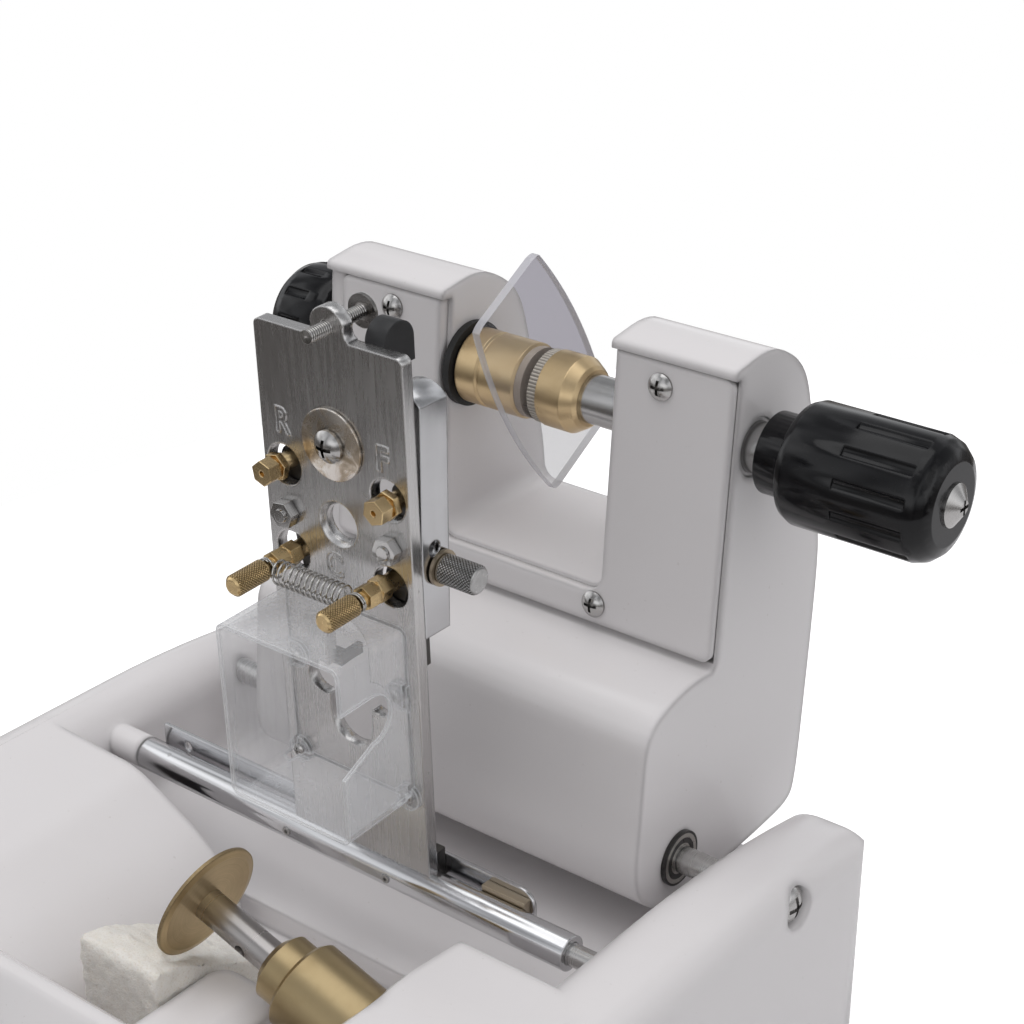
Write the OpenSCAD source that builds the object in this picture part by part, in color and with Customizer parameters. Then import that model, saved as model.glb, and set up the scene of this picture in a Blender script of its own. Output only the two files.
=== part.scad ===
// Bench lens groover for optical workshops.
// A lens is clamped between two knobs in a U-shaped head. The head swings
// forward on a low pivot and lays the lens rim on a small grinding wheel,
// while a chrome guide plate with two sprung fingers folds over the wheel.
// Sizes in millimetres, +Z up, +Y to the back, +X to the right.
// Most places are counted from the guide axis: x from the middle of the guide
// plate, y and z from the centre of the chrome tube that the plate stands on.

/* [Base] */
// Inner face of the right side wall, from the plate's middle
wall_in_r = 62; // [60:0.5:68]
// Inner face of the left side wall, from the plate's middle
wall_in_l = 80; // [79:0.5:90]
// Width of the right side wall
wall_w_r = 25; // [22:0.5:30]
// Width of the left side wall
wall_w_l = 19.5; // [16:0.5:24]
// Front of the base, before the guide axis
base_front = 105; // [100:1:130]
// Back of the base, behind the guide axis
base_back = 81; // [78:0.5:90]
// Height of the guide axis over the underside of the housing
axis_over_base = 56; // [50:0.5:64]
// Deck behind the guide tube, below the guide axis
deck_drop = 19; // [18:0.5:24]
// Floor of the wet basin, below the guide axis
basin_drop = 25; // [22:0.5:30]
// Crest of the side walls beside the guide tube, over the guide axis
crest = 8.8; // [8:0.1:10]
// Corner radius of the base seen from above
base_corner = 14; // [6:1:18]
// Wall thickness of the base housing
shell = 3; // [2:0.25:4]
// Thickness of the bottom plate
bottom_t = 2; // [1.5:0.25:3]
// Height of the rubber feet
foot_h = 3; // [2:0.5:8]
// Radius of the rubber feet
foot_r = 8; // [5:0.5:10]

/* [Head] */
// Pivot axis of the head, behind the guide axis
pivot_back = 43; // [41:0.5:46]
// Radius of the steel pivot shaft
pivot_r = 3.15; // [2.5:0.05:4]
// Left side of the head, from the plate's middle
head_left = 60.2; // [58:0.2:64]
// Right side of the head, from the plate's middle
head_right = 55; // [54:0.2:57]
// Inner side of the left tower
tower_l = 24.5; // [22:0.5:27]
// Inner side of the right tower
tower_r = 23; // [21:0.5:25]
// Floor of the lens gap between the towers, over the pivot axis
gap_floor = 52; // [48:0.5:56]
// Reach of the head's roof lip over the front cover
lip = 2; // [1:0.25:3]
// Thickness of the front cover
cover_t = 3; // [2:0.25:4]

/* [Lens spindle] */
// Spindle axis behind the pivot axis
spindle_back = 25; // [23:0.5:27]
// Spindle axis over the pivot axis
spindle_up = 92; // [90:0.5:95]
// Radius of the brass lens chucks
chuck_r = 9; // [7:0.25:10.5]
// Radius of the steel spindle ends
spindle_r = 5.75; // [4.5:0.25:6.5]
// Thickness of the lens
lens_t = 2.2; // [1.5:0.1:3]
// Long side of the demonstration lens
lens_len = 56; // [46:1:57]
// Short side of the demonstration lens
lens_wid = 31; // [26:1:32]
// Middle plane of the lens, left of the plate's middle
lens_off = 2; // [0:0.25:3]
// Radius of the clamp knobs
knob_r = 13.75; // [11:0.25:16]
// Length of the right knob's fluted body
knob_len = 35.5; // [25:0.5:42]
// Length of the left knob's fluted body
knob_len_l = 17.5; // [14:0.5:24]
// Number of flutes round a knob
knob_flutes = 12; // [8:1:16]
// Travel of the right clamp when the lens is let go
clamp_travel = 9; // [5:0.5:9]

/* [Guide] */
// Radius of the chrome guide tube
tube_r = 4; // [3.4:0.1:4.5]
// Radius of the fixed steel pin inside the guide tube
pin_r = 2.5; // [2:0.1:2.8]
// Left end of the guide tube, from the plate's middle
tube_left = 70.4; // [68:0.2:72]
// Right end of the guide tube, from the plate's middle
tube_right = 57.5; // [50:0.5:60]
// Width of the guide plate
plate_w = 39.7; // [39:0.1:42]
// Height of the guide plate's shoulders over the guide axis
plate_h = 126.7; // [125:0.5:132]
// Thickness of the guide plate
plate_t = 3; // [2.4:0.1:3.2]
// Forward lean of the guide plate
lean = 2.4; // [1.6:0.1:2.8]
// Height of the arm pivots along the plate
arm_pivot_u = 83.8; // [83:0.1:84.6]
// Distance of the arm pivots from the plate's middle
arm_pivot_x = 14.2; // [13.8:0.1:14.4]
// Depth of the clear splash box
box_depth = 21; // [20:0.25:22]
// Wall thickness of the clear splash box
box_t = 1; // [0.8:0.1:1.6]
// Number of curls in the arm spring
spring_curls = 11; // [8:1:14]
// Wire thickness of the arm spring
spring_wire = 0.5; // [0.4:0.05:0.6]

/* [Wheel] */
// Wheel centre before the guide axis
wheel_front = 49; // [48:0.5:50]
// Wheel centre over the guide axis
wheel_up = 15.5; // [15:0.25:16]
// Radius of the grooving wheel
wheel_r = 13.2; // [11:0.1:13.4]
// Thickness of the wheel body
wheel_t = 1.6; // [1:0.1:2]
// Downward slope of the wheel spindle to the right
wheel_tilt = 17; // [16:0.25:18]
// Radius of the wheel spindle
wheel_spindle_r = 3.5; // [2.5:0.1:3.8]
// Radius of the brass bearing sleeve
sleeve_r = 9.75; // [8.5:0.05:10]

/* [Controls] */
// Radius of the groove depth dial
dial_r = 12; // [9:0.5:14]
// Width of the rocker switches
rocker_w = 21; // [18:0.5:24]

/* [Hidden] */
$fn = 64;

// named clearances
run = 0.05;
gap = 0.3;
hair = 0.02;

// the base's sides
x_r = wall_in_r + wall_w_r;
x_l = -wall_in_l - wall_w_l;
y_f = -base_front;
y_b = base_back;
z_b = -axis_over_base;
crest_r = wall_w_r / 2;
crest_out_r = 7;
left_r = wall_w_l / 2 - 0.05;
// the walls' crest runs level up to fall_y and then falls to the back along a large arc
fall_r = 320;
fall_y = 10;
// the back of the base bulges round this height
bulge_r = 72;
bulge_z = -30;
function bulge_y(z) = y_b - bulge_r + sqrt(bulge_r * bulge_r - (z - bulge_z) * (z - bulge_z));
block_x = -55;
block_y1 = -14;
block_z = crest;
pod_top = 12.5;
basin_x1 = 58;
basin_y0 = y_f + 27;
basin_y1 = -9;

// control slope at the front
slope_y0 = y_f;
slope_y1 = y_f + 21;
slope_z0 = -18;
slope_z1 = crest;
slope_a = atan2(slope_z1 - slope_z0, slope_y1 - slope_y0);

// the knobs' ends set the origin in x, the head's back and the dial's front in y
neck_r_knob = clamp_travel + 2;
neck_l_knob = 0.5;
screw_out = 2.5;
knob_end_r = head_right + gap + neck_r_knob + knob_len + screw_out;
knob_end_l = head_left + gap + neck_l_knob + knob_len_l + screw_out;
head_back = pivot_back + 54.3;
dial_front = -(slope_y0 + slope_y1) / 2 + 12.1 * sin(slope_a) + (dial_r - 2.5) * cos(slope_a);
gx = (max(knob_end_l, -x_l) - max(knob_end_r, x_r)) / 2;
gy = (dial_front - head_back) / 2;
gz = axis_over_base + bottom_t + foot_h;

module at_guide() translate([gx, gy, gz]) children();
module at_pivot() translate([gx, gy + pivot_back, gz]) children();
module at_spindle() translate([gx, gy + pivot_back + spindle_back, gz + spindle_up]) children();
module at_plate() at_guide() rotate([lean, 0, 0]) children();
module at_wheel() at_guide() translate([0, -wheel_front, wheel_up]) rotate([0, 90 + wheel_tilt, 0]) children();
module at_slope(x) at_guide() translate([x, (slope_y0 + slope_y1) / 2, (slope_z0 + slope_z1) / 2])
    rotate([slope_a, 0, 0]) children();

// rods and plates
module rod_x(r, x0, x1) translate([x0, 0, 0]) rotate([0, 90, 0]) cylinder(r = r, h = x1 - x0);
module rod_y(r, y0, y1) translate([0, y1, 0]) rotate([90, 0, 0]) cylinder(r = r, h = y1 - y0);
module block(a, b) translate(a) cube(b - a);
module rounded(a, b, r) {
    square_pts = [[a[0] + r, a[1] + r], [b[0] - r, a[1] + r], [b[0] - r, b[1] - r], [a[0] + r, b[1] - r]];
    translate([a[0] + r, a[1]]) square([b[0] - a[0] - 2 * r, b[1] - a[1]]);
    translate([a[0], a[1] + r]) square([b[0] - a[0], b[1] - a[1] - 2 * r]);
    for (p = square_pts) translate(p) circle(r);
}
// an upright plate drawn in x and z, between y0 and y1
module upright(y0, y1) translate([0, y1, 0]) rotate([90, 0, 0]) linear_extrude(y1 - y0) children();
// a profile drawn in y and z, run along x
module along_x(x0, x1) translate([x0, 0, 0]) rotate([90, 0, 90]) linear_extrude(x1 - x0) children();
module hex(af, h) cylinder(r = af / sqrt(3), h = h, $fn = 6);
// domed head of a cross-slotted screw, seat at z = 0
module pan_head(r, h) {
    difference() {
        intersection() {
            cylinder(r = r, h = h);
            translate([0, 0, h - r * 1.35]) sphere(r * 1.35);
        }
        for (a = [0, 90]) rotate(a) translate([-r * 0.55, -r * 0.11, h * 0.5]) cube([r * 1.1, r * 0.22, h]);
    }
}

// ---- base ----

module base_plan(t) rounded([x_l + t, y_f + t], [x_r - t, y_b - t], base_corner - t);

// cross section of a side wall, rounded by r0 on its left and r1 on its right
module wall_section(x0, x1, r0, r1) {
    translate([x0, z_b]) square([x1 - x0 - r1, crest - r0 - z_b]);
    translate([x0 + r0, z_b]) square([x1 - x0 - r0, crest - r1 - z_b]);
    translate([x0 + r0, z_b]) square([x1 - x0 - r0 - r1, crest - z_b]);
    translate([x0 + r0, crest - r0]) circle(r0);
    translate([x1 - r1, crest - r1]) circle(r1);
}
module side_wall(x0, x1, r0, r1) {
    upright(y_f, fall_y) wall_section(x0, x1, r0, r1);
    translate([0, fall_y, crest - fall_r]) rotate([0, -90, 0]) rotate_extrude(angle = 30, $fn = 720)
        translate([fall_r - crest, 0]) rotate(-90) wall_section(x0, x1, r0, r1);
}
// everything in front of the bulging back face, moved in by t
module before_back(t) {
    block([x_l - 1, y_f - 1, z_b - 3], [x_r + 1, y_b - bulge_r, 30]);
    translate([x_l - 1, y_b - bulge_r, bulge_z]) rotate([0, 90, 0]) cylinder(r = bulge_r - t, h = x_r - x_l + 2, $fn = 240);
}

// the pod's left face stands square to the wheel spindle
pod_s = 43.5;
pod_x = pod_s * cos(wheel_tilt);
pod_z = wheel_up - pod_s * sin(wheel_tilt);
pod_y0 = -wheel_front - 29;
pod_y1 = -wheel_front + 33.5;
function pod_face_x(z) = pod_x + (z - pod_z) * tan(wheel_tilt);

module pod() intersection() {
    upright(pod_y0, pod_y1 + 1) polygon([[pod_face_x(-14), -14], [pod_face_x(pod_top - 2), pod_top - 2],
        [pod_face_x(pod_top) + 1.6, pod_top], [wall_in_r + crest_r - 4, pod_top], [wall_in_r + crest_r + 4, pod_top - 4],
        [wall_in_r + crest_r + 4, z_b], [pod_face_x(-14) - 4, z_b]]);
    along_x(0, 100) polygon(rounded_path([[pod_y0, z_b, 0.1], [pod_y0, pod_top, 2], [-wheel_front + 4, pod_top, 8],
        [-wheel_front + 20, crest + 0.6, 8], [pod_y1 - 3, crest - 0.7, 3], [pod_y1, crest - 6, 3], [pod_y1, z_b, 0.1]]));
}
// the wet basin's left side falls in a soft bowl from the broad top
module bowl() upright(basin_y0 - 1, block_y1) polygon(rounded_path([[x_l + 8, z_b, 0.1], [x_l + 8, block_z, 0.1],
    [x_l + left_r + 1, block_z, 6], [block_x - 4, block_z - 1.3, 5], [-38, -2.8, 8], [-28.5, -11, 6], [-25, -basin_drop, 4], [-25, z_b, 0.1]]));

motor_s = wall_in_r + -5;
motor_len = 22;
motor_r = 12;

module base_housing() color("white") at_guide() {
    difference() {
        intersection() {
            union() {
                difference() {
                    union() {
                        block([x_l, y_f, z_b], [x_r, y_b, -deck_drop]);
                    }
                    translate([0, 0, -basin_drop]) linear_extrude(60) rounded([block_x, basin_y0], [basin_x1, basin_y1], 8);
                }
                bowl();
                side_wall(x_l, -wall_in_l, left_r, left_r);
                side_wall(wall_in_r, x_r, crest_r, crest_out_r);
                along_x(x_l, x_r) polygon([[slope_y0, z_b], [slope_y0, slope_z0], [slope_y1, slope_z1],
                    [basin_y0 - 3, slope_z1], [basin_y0, slope_z1 - 3], [basin_y0, z_b]]);
                pod();
                // holder beside the sponge
                intersection() {
                    translate([0, 0, -basin_drop - 1]) linear_extrude(40) rounded([2, -76], [19, -47.7], 4.5);
                    upright(-80, -40) polygon([[0, -40], [0, -1.5], [1.5, -0.3], [14, -0.3], [19, -3], [19, -40]]);
                }
                // boss that carries the left end of the guide pin
                rod_x(4, -wall_in_l - 2, -tube_left - 0.6);
                // fillets between the deck and the side walls
                for (s = [[-wall_in_l, 1], [wall_in_r, -1]]) translate([s[0], 0, -deck_drop]) difference() {
                    block([s[1] > 0 ? -1 : -4, basin_y1, -1], [s[1] > 0 ? 4 : 1, y_b, 4]);
                    translate([s[1] * 4, 0, 4]) rod_y(4, basin_y1 - 1, y_b + 1);
                }
            }
            translate([0, 0, z_b]) linear_extrude(80) base_plan(0);
            before_back(0);
        }
        // the whole front falls away along the control slope
        along_x(x_l - 1, x_r + 1) polygon([[slope_y0 - 1, slope_z0], [slope_y0, slope_z0],
            [slope_y1 + (pod_top + 1 - slope_z1) / tan(slope_a), pod_top + 1], [slope_y0 - 1, pod_top + 1]]);
        // hollow underside
        difference() {
            union() {
                intersection() {
                    translate([0, 0, z_b - 1]) linear_extrude(axis_over_base - deck_drop - shell + 1) base_plan(shell);
                    before_back(shell);
                }
                translate([0, 0, z_b - 1]) linear_extrude(axis_over_base + block_z - 8 - shell)
                    rounded([x_l + shell, y_f + shell + 16], [block_x - shell, basin_y1 - shell], 6);
                along_x(x_l + 12, x_r - 12) polygon([[slope_y0 + shell + 2, z_b - 1], [slope_y0 + shell + 2, slope_z0 - 1],
                    [slope_y1 - 2, slope_z1 - 9], [basin_y0 - shell, slope_z1 - 9], [basin_y0 - shell, z_b - 1]]);
            }
            translate([0, 0, -basin_drop - shell]) linear_extrude(60)
                rounded([block_x - shell, basin_y0 - shell], [basin_x1 + shell, basin_y1 + shell], 8 + shell);
            block([wall_in_r - shell, basin_y0, z_b - 2], [x_r + 1, y_b + 1, crest]);
            block([x_l - 1, basin_y1, z_b - 2], [-wall_in_l, y_b + 1, crest]);
        }
        // pocket for the wheel motor, open from below
        translate([0, -wheel_front, wheel_up]) rotate([0, 90 + wheel_tilt, 0]) {
            translate([0, 0, motor_s - 0.5]) cylinder(r = motor_r + 0.5, h = motor_len + 1.5);
            translate([0, 0, 30]) cylinder(r = sleeve_r + run, h = 40);
        }
        block([50, -wheel_front - motor_r - 0.5, z_b - 1], [79, -wheel_front + motor_r + 0.5, -4]);
        // guide pin and pivot shaft seats
        rod_x(pin_r + hair, -wall_in_l - 6, -tube_left);
        rod_x(pin_r + hair, wall_in_r - 1, wall_in_r + 8);
        translate([0, pivot_back, 0]) {
            rod_x(pivot_r + hair, -wall_in_l - 8, -wall_in_l + 1);
            rod_x(pivot_r + hair, wall_in_r - 1, x_r - 7);
            rod_x(2.1, x_r - 8, x_r);
            rod_x(4.9, x_r - 3, x_r + 1);
        }
        // power inlet, switches and dial
        translate([inlet_x, 0, inlet_z]) rod_y(inlet_r + hair, y_b - shell - 4, y_b + 1);
        for (p = deck_screw_at) translate([p[0], p[1], -deck_drop - shell - 1]) cylinder(r = 1.5 + hair, h = shell + 2);
    }
}

deck_screw_at = [[49.5, 21], [50.5, 39.5]];
inlet_x = x_l + 32;
inlet_z = bulge_z;
inlet_r = 5.5;

module bottom_plate() color("dimgray") at_guide()
    translate([0, 0, z_b - bottom_t]) linear_extrude(bottom_t) intersection() {
        base_plan(1.5);
        translate([x_l, y_f]) square([x_r - x_l, bulge_y(z_b) - 1.5 - y_f]);
    }

module rubber_feet() color("black") at_guide() for (x = [x_l + 22, x_r - 22], y = [y_f + 22, y_b - 22])
    translate([x, y, z_b - bottom_t - foot_h]) rotate_extrude() polygon([[0, 0], [foot_r - 1, 0], [foot_r, foot_h], [0, foot_h]]);

module deck_screws() color("silver") at_guide() for (p = deck_screw_at) translate([p[0], p[1], -deck_drop]) {
    pan_head(2.8, 1.9);
    translate([0, 0, -5]) cylinder(r = 1.5, h = 5);
}

module side_screws() color("silver") at_guide() translate([x_r - 3, pivot_back, 0]) {
    rotate([0, 90, 0]) pan_head(4.7, 2.6);
    rod_x(2, -4.2, 0);
}

module power_inlet() color("black") at_guide() translate([inlet_x, 0, inlet_z]) {
    difference() {
        union() {
            rod_y(inlet_r, y_b - shell - 4, y_b);
            rod_y(inlet_r + 1.5, y_b, y_b + 1.5);
        }
        rod_y(2.9, y_b - shell - 2, y_b + 3);
    }
    rod_y(1, y_b - shell - 2.5, y_b);
}

// ---- controls on the front slope ----

switch_x = [-62, -30];
rocker_h = 15;
module switch_frames() color("black") for (x = switch_x) at_slope(x) difference() {
    translate([-rocker_w / 2, -rocker_h / 2, 0]) cube([rocker_w, rocker_h, 2]);
    translate([-rocker_w / 2 + 2, -rocker_h / 2 + 1.6, 0.95]) cube([rocker_w - 4, rocker_h - 3.2, 2]);
}

module rocker(x) at_slope(x) translate([0, 0, 2]) rotate([7, 0, 0]) {
    rod_x(0.95, -rocker_w / 2 + 2.4, rocker_w / 2 - 2.4);
    translate([-rocker_w / 2 + 2.4, 0, 0]) rotate([90, 0, 90]) linear_extrude(rocker_w - 4.8)
        polygon([[-5.3, 0.1], [-5.3, 1.9], [0, 1], [5.3, 1.9], [5.3, 0.1], [0, -0.7]]);
}
module wheel_rocker() color("red") rocker(switch_x[0]);
module spindle_rocker() color("green") rocker(switch_x[1]);

dial_x = 22;
module depth_dial() color("black") at_slope(dial_x) difference() {
    union() {
        translate([0, 0, gap]) cylinder(r = dial_r + 3, h = 1.6);
        translate([0, 0, 1.6]) rotate_extrude() polygon([[0, 0], [dial_r, 0], [dial_r - 1, 9], [dial_r - 2.5, 10.5], [0, 10.5]]);
    }
    for (i = [0:23]) rotate(i * 15) translate([dial_r + 0.35, 0, 2.4]) cylinder(r = 1.2, h = 12);
    translate([dial_r - 4, -0.6, 11.7]) cube([6, 1.2, 2]);
}

// ---- wheel ----

sponge_top = 3.2;
sponge_y0 = -wheel_front - 17;
module sponge() color("lightyellow") at_guide() along_x(-22, 1.7)
    polygon([[sponge_y0, hair - basin_drop], [sponge_y0, sponge_top - 1.5], [sponge_y0 + 1.5, sponge_top],
        [sponge_y0 + 12.2, sponge_top], [sponge_y0 + 35, -9.4], [sponge_y0 + 36, -11], [sponge_y0 + 36, hair - basin_drop]]);

module wheel_motor() color("silver") at_wheel() translate([0, 0, motor_s]) difference() {
    union() {
        cylinder(r = motor_r, h = motor_len);
    }
    translate([0, 0, -1]) cylinder(r = wheel_spindle_r + run, h = 7);
}

sleeve_s = 27.4;
nut_s = 20.4;
nut_r = 7.3;
module bearing_sleeve() color("goldenrod") at_wheel() difference() {
    union() {
        translate([0, 0, sleeve_s]) rotate_extrude() polygon([[0, 0], [sleeve_r - 0.9, 0], [sleeve_r, 0.9],
            [sleeve_r, motor_s - sleeve_s], [0, motor_s - sleeve_s]]);
        translate([0, 0, nut_s]) rotate_extrude() polygon([[0, 0], [5.2, 0], [nut_r, 1.7], [nut_r, sleeve_s - nut_s], [0, sleeve_s - nut_s]]);
    }
    translate([0, 0, nut_s - 1]) cylinder(r = wheel_spindle_r + run, h = 50);
}

module wheel_spindle() color("silver") at_wheel() difference() {
    union() {
        translate([0, 0, wheel_t / 2]) cylinder(r = wheel_spindle_r, h = motor_s + 5 - wheel_t / 2);
        translate([0, 0, -5]) cylinder(r = 2.5, h = 5 + wheel_t);
    }
    translate([0, 0, 13.5]) rotate(32) rotate([90, 0, 0]) cylinder(r = 1.4, h = 20, center = true);
}

module grinding_wheel() color("darkgoldenrod") at_wheel() difference() {
    union() {
        rotate_extrude() polygon([[0, -wheel_t / 2], [wheel_r - 1.6, -wheel_t / 2], [wheel_r, -0.35], [wheel_r, 0.35],
            [wheel_r - 1.6, wheel_t / 2], [0, wheel_t / 2]]);
        translate([0, 0, -3.4]) rotate(15) hex(8, 3);
    }
    translate([0, 0, -6]) cylinder(r = 2.5 + hair, h = 12);
}

// ---- guide: pin, tube and what rides on it ----

module guide_pin() color("gray") at_guide() rod_x(pin_r, -wall_in_l - 5.8, wall_in_r + 7.8);

tube_screw_x = [-21, 9];
module guide_tube() color("silver") at_guide() difference() {
    rod_x(tube_r, -tube_left, tube_right);
    rod_x(pin_r + run, -tube_left - 1, tube_right + 1);
    for (x = tube_screw_x) translate([x, 0, 0]) rod_y(1 + hair, -tube_r - 1, 0);
}
module tube_screws() color("gray") at_guide() for (x = tube_screw_x) translate([x, 0, 0]) difference() {
    rod_y(1, -tube_r - 0.15, -pin_r - 0.2);
    rotate([90, 0, 0]) translate([0, 0, tube_r - 0.5]) cylinder(r = 0.5, h = 2, $fn = 6);
}

strip_y0 = tube_r + 1.1;
module leaf_strip() color("silver") at_guide() upright(strip_y0, strip_y0 + 1) difference() {
    union() {
        translate([-70, 0]) square([109.6, 6]);
        intersection() {
            translate([39.6, 2]) circle(4);
            translate([30, 0]) square([20, 6]);
        }
        translate([39.6, 0]) square([4, 2]);
    }
    for (x = [-62, 34]) translate([x, 2.5]) circle(1.2);
}
module strip_clamp() color("dimgray") at_guide() difference() {
    block([14, 0, 0.5], [19, strip_y0, 8]);
    rod_x(tube_r, 0, 30);
    rotate([lean, 0, 0]) block([0, -20, 0], [30, plate_t / 2, 20]);
}
module strip_bumper() color("tan") at_guide() difference() {
    block([31, 0, 0.4], [42.8, strip_y0, 4.5]);
    rod_x(tube_r, 20, 60);
    block([30, -1, -6], [44, 2.6, 6]);
}

// ---- guide plate ----

ear_x = 0.5;
ear_u = plate_h + 2.3;
ear_r = 4.5;
open_r = 4.7;
pin_open_x = 13.6;
pin_open_u = arm_pivot_u - 9.2;
fit_open_u = arm_pivot_u + 11;
hub_u = plate_h - 23.3;
peep_u = arm_pivot_u + 1.2;
slot_top = 62.5;
lobe_u = 45.3;

module plate_outline() difference() {
    union() {
        rounded([-plate_w / 2, 0], [plate_w / 2, plate_h], 1.6);
        translate([-plate_w / 2, 0]) square([plate_w, 4]);
        translate([ear_x, ear_u]) circle(ear_r);
        translate([ear_x - ear_r - 1, plate_h - 2]) square([2 * ear_r + 2, 4]);
    }
    for (s = [-1, 1]) translate([ear_x + s * (ear_r + 2.2), plate_h + 2.4]) circle(2.4);
}
module clover() {
    for (s = [-1, 1]) translate([s * 8, lobe_u]) circle(4);
    translate([-8, lobe_u - 3]) square([16, 6]);
    translate([0, 37]) circle(6);
    translate([-6, 37]) square([12, slot_top - 6 - 37]);
    translate([0, slot_top - 6]) circle(6);
}
box_u0 = 23;
box_u1 = 66;
box_half = 17.2;
box_screw_at = [[-15.8, 24], [15.8, 24], [-14.4, 49.2], [14.4, 49.2]];

module guide_plate() color("silver") at_plate() difference() {
    upright(-plate_t / 2, plate_t / 2) difference() {
        plate_outline();
        clover();
        for (s = [-1, 1]) {
            translate([s * arm_pivot_x, fit_open_u]) circle(open_r);
            translate([s * pin_open_x, pin_open_u]) circle(open_r);
            translate([s * arm_pivot_x, arm_pivot_u]) circle(1.5 + hair);
        }
        translate([0, peep_u]) circle(4.25);
        translate([0, hub_u]) circle(2 + hair);
        translate([ear_x, ear_u]) circle(1.5 + hair);
        for (p = box_screw_at) translate(p) circle(1 + hair);
    }
    rod_x(tube_r + hair, -40, 40);
    // countersink of the peep hole
    translate([0, -plate_t / 2 - 0.01, peep_u]) rotate([-90, 0, 0]) cylinder(r1 = 5.3, r2 = 4.2, h = 1.1);
}

module ear_screw() color("silver") at_plate() translate([ear_x, 0, ear_u]) {
    rod_y(1.5, -plate_t / 2 - 5.8, 9.2);
    translate([0, 9, 0]) rotate([-90, 0, 0]) pan_head(3.7, 2.4);
}
washer_r = 8;
module big_washer() color("silver") at_plate() translate([0, 0, hub_u]) difference() {
    rod_y(washer_r, -plate_t / 2 - 0.7, -plate_t / 2);
    rod_y(2 + hair, -5, 5);
}
module washer_screw() color("silver") at_plate() translate([0, -plate_t / 2 - 0.7, hub_u]) {
    rotate([90, 0, 0]) pan_head(3.6, 2.6);
    rod_y(2, 0, plate_t + 1.6);
}
arm_y0 = plate_t / 2 + gap;
arm_t = 1.6;
nut_t = 2.4;
module arm_pivot_screws() color("silver") at_plate() for (s = [-1, 1]) translate([s * arm_pivot_x, 0, arm_pivot_u]) {
    difference() {
        translate([0, -plate_t / 2, 0]) rotate([90, 0, 0]) rotate(8) hex(5.5, nut_t);
        rod_y(1.5, -10, 10);
    }
    rod_y(1.5, -plate_t / 2 - nut_t - 0.5, arm_y0 + arm_t + 0.2);
    rod_y(2.6, arm_y0 + arm_t + 0.2, arm_y0 + arm_t + 1.4);
}

// ---- chrome channel behind the plate, its pad and its knob ----

bar_x0 = 9;
bar_x1 = 20;
bar_y0 = -1.9;
bar_y1 = 6.5;
bar_z0 = 63;
bar_z1 = plate_h - 11.7;
bar_rise = 2.6;
bar_wall = 1.5;
bar_top_r = ((bar_x1 - bar_x0) * (bar_x1 - bar_x0) / 4 + bar_rise * bar_rise) / (2 * bar_rise);
knob_y = 3.6;
knob_z = 78;
module guide_bar() color("silver") difference() {
    at_guide() {
        difference() {
            union() {
                block([bar_x0, bar_y0, bar_z0], [bar_x1, bar_y1, bar_z1]);
                // arched top
                upright(bar_y0, bar_y1) intersection() {
                    translate([(bar_x0 + bar_x1) / 2, bar_z1 + bar_rise - bar_top_r]) circle(bar_top_r);
                    translate([bar_x0, bar_z1 - 1]) square([bar_x1 - bar_x0, 10]);
                }
            }
            // open channel towards the plate
            block([bar_x0 - 1, bar_y0 - 1, bar_z0 - 1], [bar_x1 - bar_wall, bar_y1 - bar_wall, bar_z1 - 2]);
            translate([bar_x1 - 6, knob_y, knob_z]) rod_x(1.5 + hair, 0, 8);
            translate([bar_x1 - 4, knob_y - 1.7, knob_z + 4.8]) rod_x(1.8, 0, 6);
        }
        // boss that the knob's screw turns in
        difference() {
            translate([0, knob_y, knob_z]) rod_x(2.7, bar_x1 - bar_wall - 3, bar_x1 - bar_wall);
            translate([0, knob_y, knob_z]) rod_x(1.5 + hair, 0, 30);
        }
    }
    at_plate() block([0, -20, 40], [30, plate_t / 2 + hair, 140]);
}

module stop_pad() color("black") at_plate() {
    upright(plate_t / 2, plate_t / 2 + 1.2) translate([pad_x0, plate_h - 20]) square([pad_x1 - pad_x0, 20]);
    // head of the pad, rounded from front to back
    along_x(pad_x0, pad_x1) {
        translate([plate_t / 2 + pad_r, plate_h - 0.3]) circle(pad_r);
        translate([plate_t / 2, plate_h - 5.4]) square([2 * pad_r, 5.1]);
    }
}
pad_x0 = 7.8;
pad_x1 = 13;
pad_r = 4.4;

kx0 = bar_x1 + 0.2;
module adjusting_knob() color("silver") at_guide() translate([0, knob_y, knob_z]) {
    rod_x(1.5, bar_x1 - 5.4, kx0 + 1);
    translate([kx0 + 1, 0, 0]) rotate([0, 90, 0]) rotate_extrude() polygon([[0, 0], [3.25, 0], [3.25, 8.6], [2.7, 9.3], [0, 9.3]]);
}
module knob_washer() color("darkkhaki") at_guide() translate([0, knob_y, knob_z]) difference() {
    rod_x(4, kx0 + 0.2, kx0 + 0.9);
    rod_x(1.5 + run, 0, 40);
}

// ---- clear splash box on the plate's front ----

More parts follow.
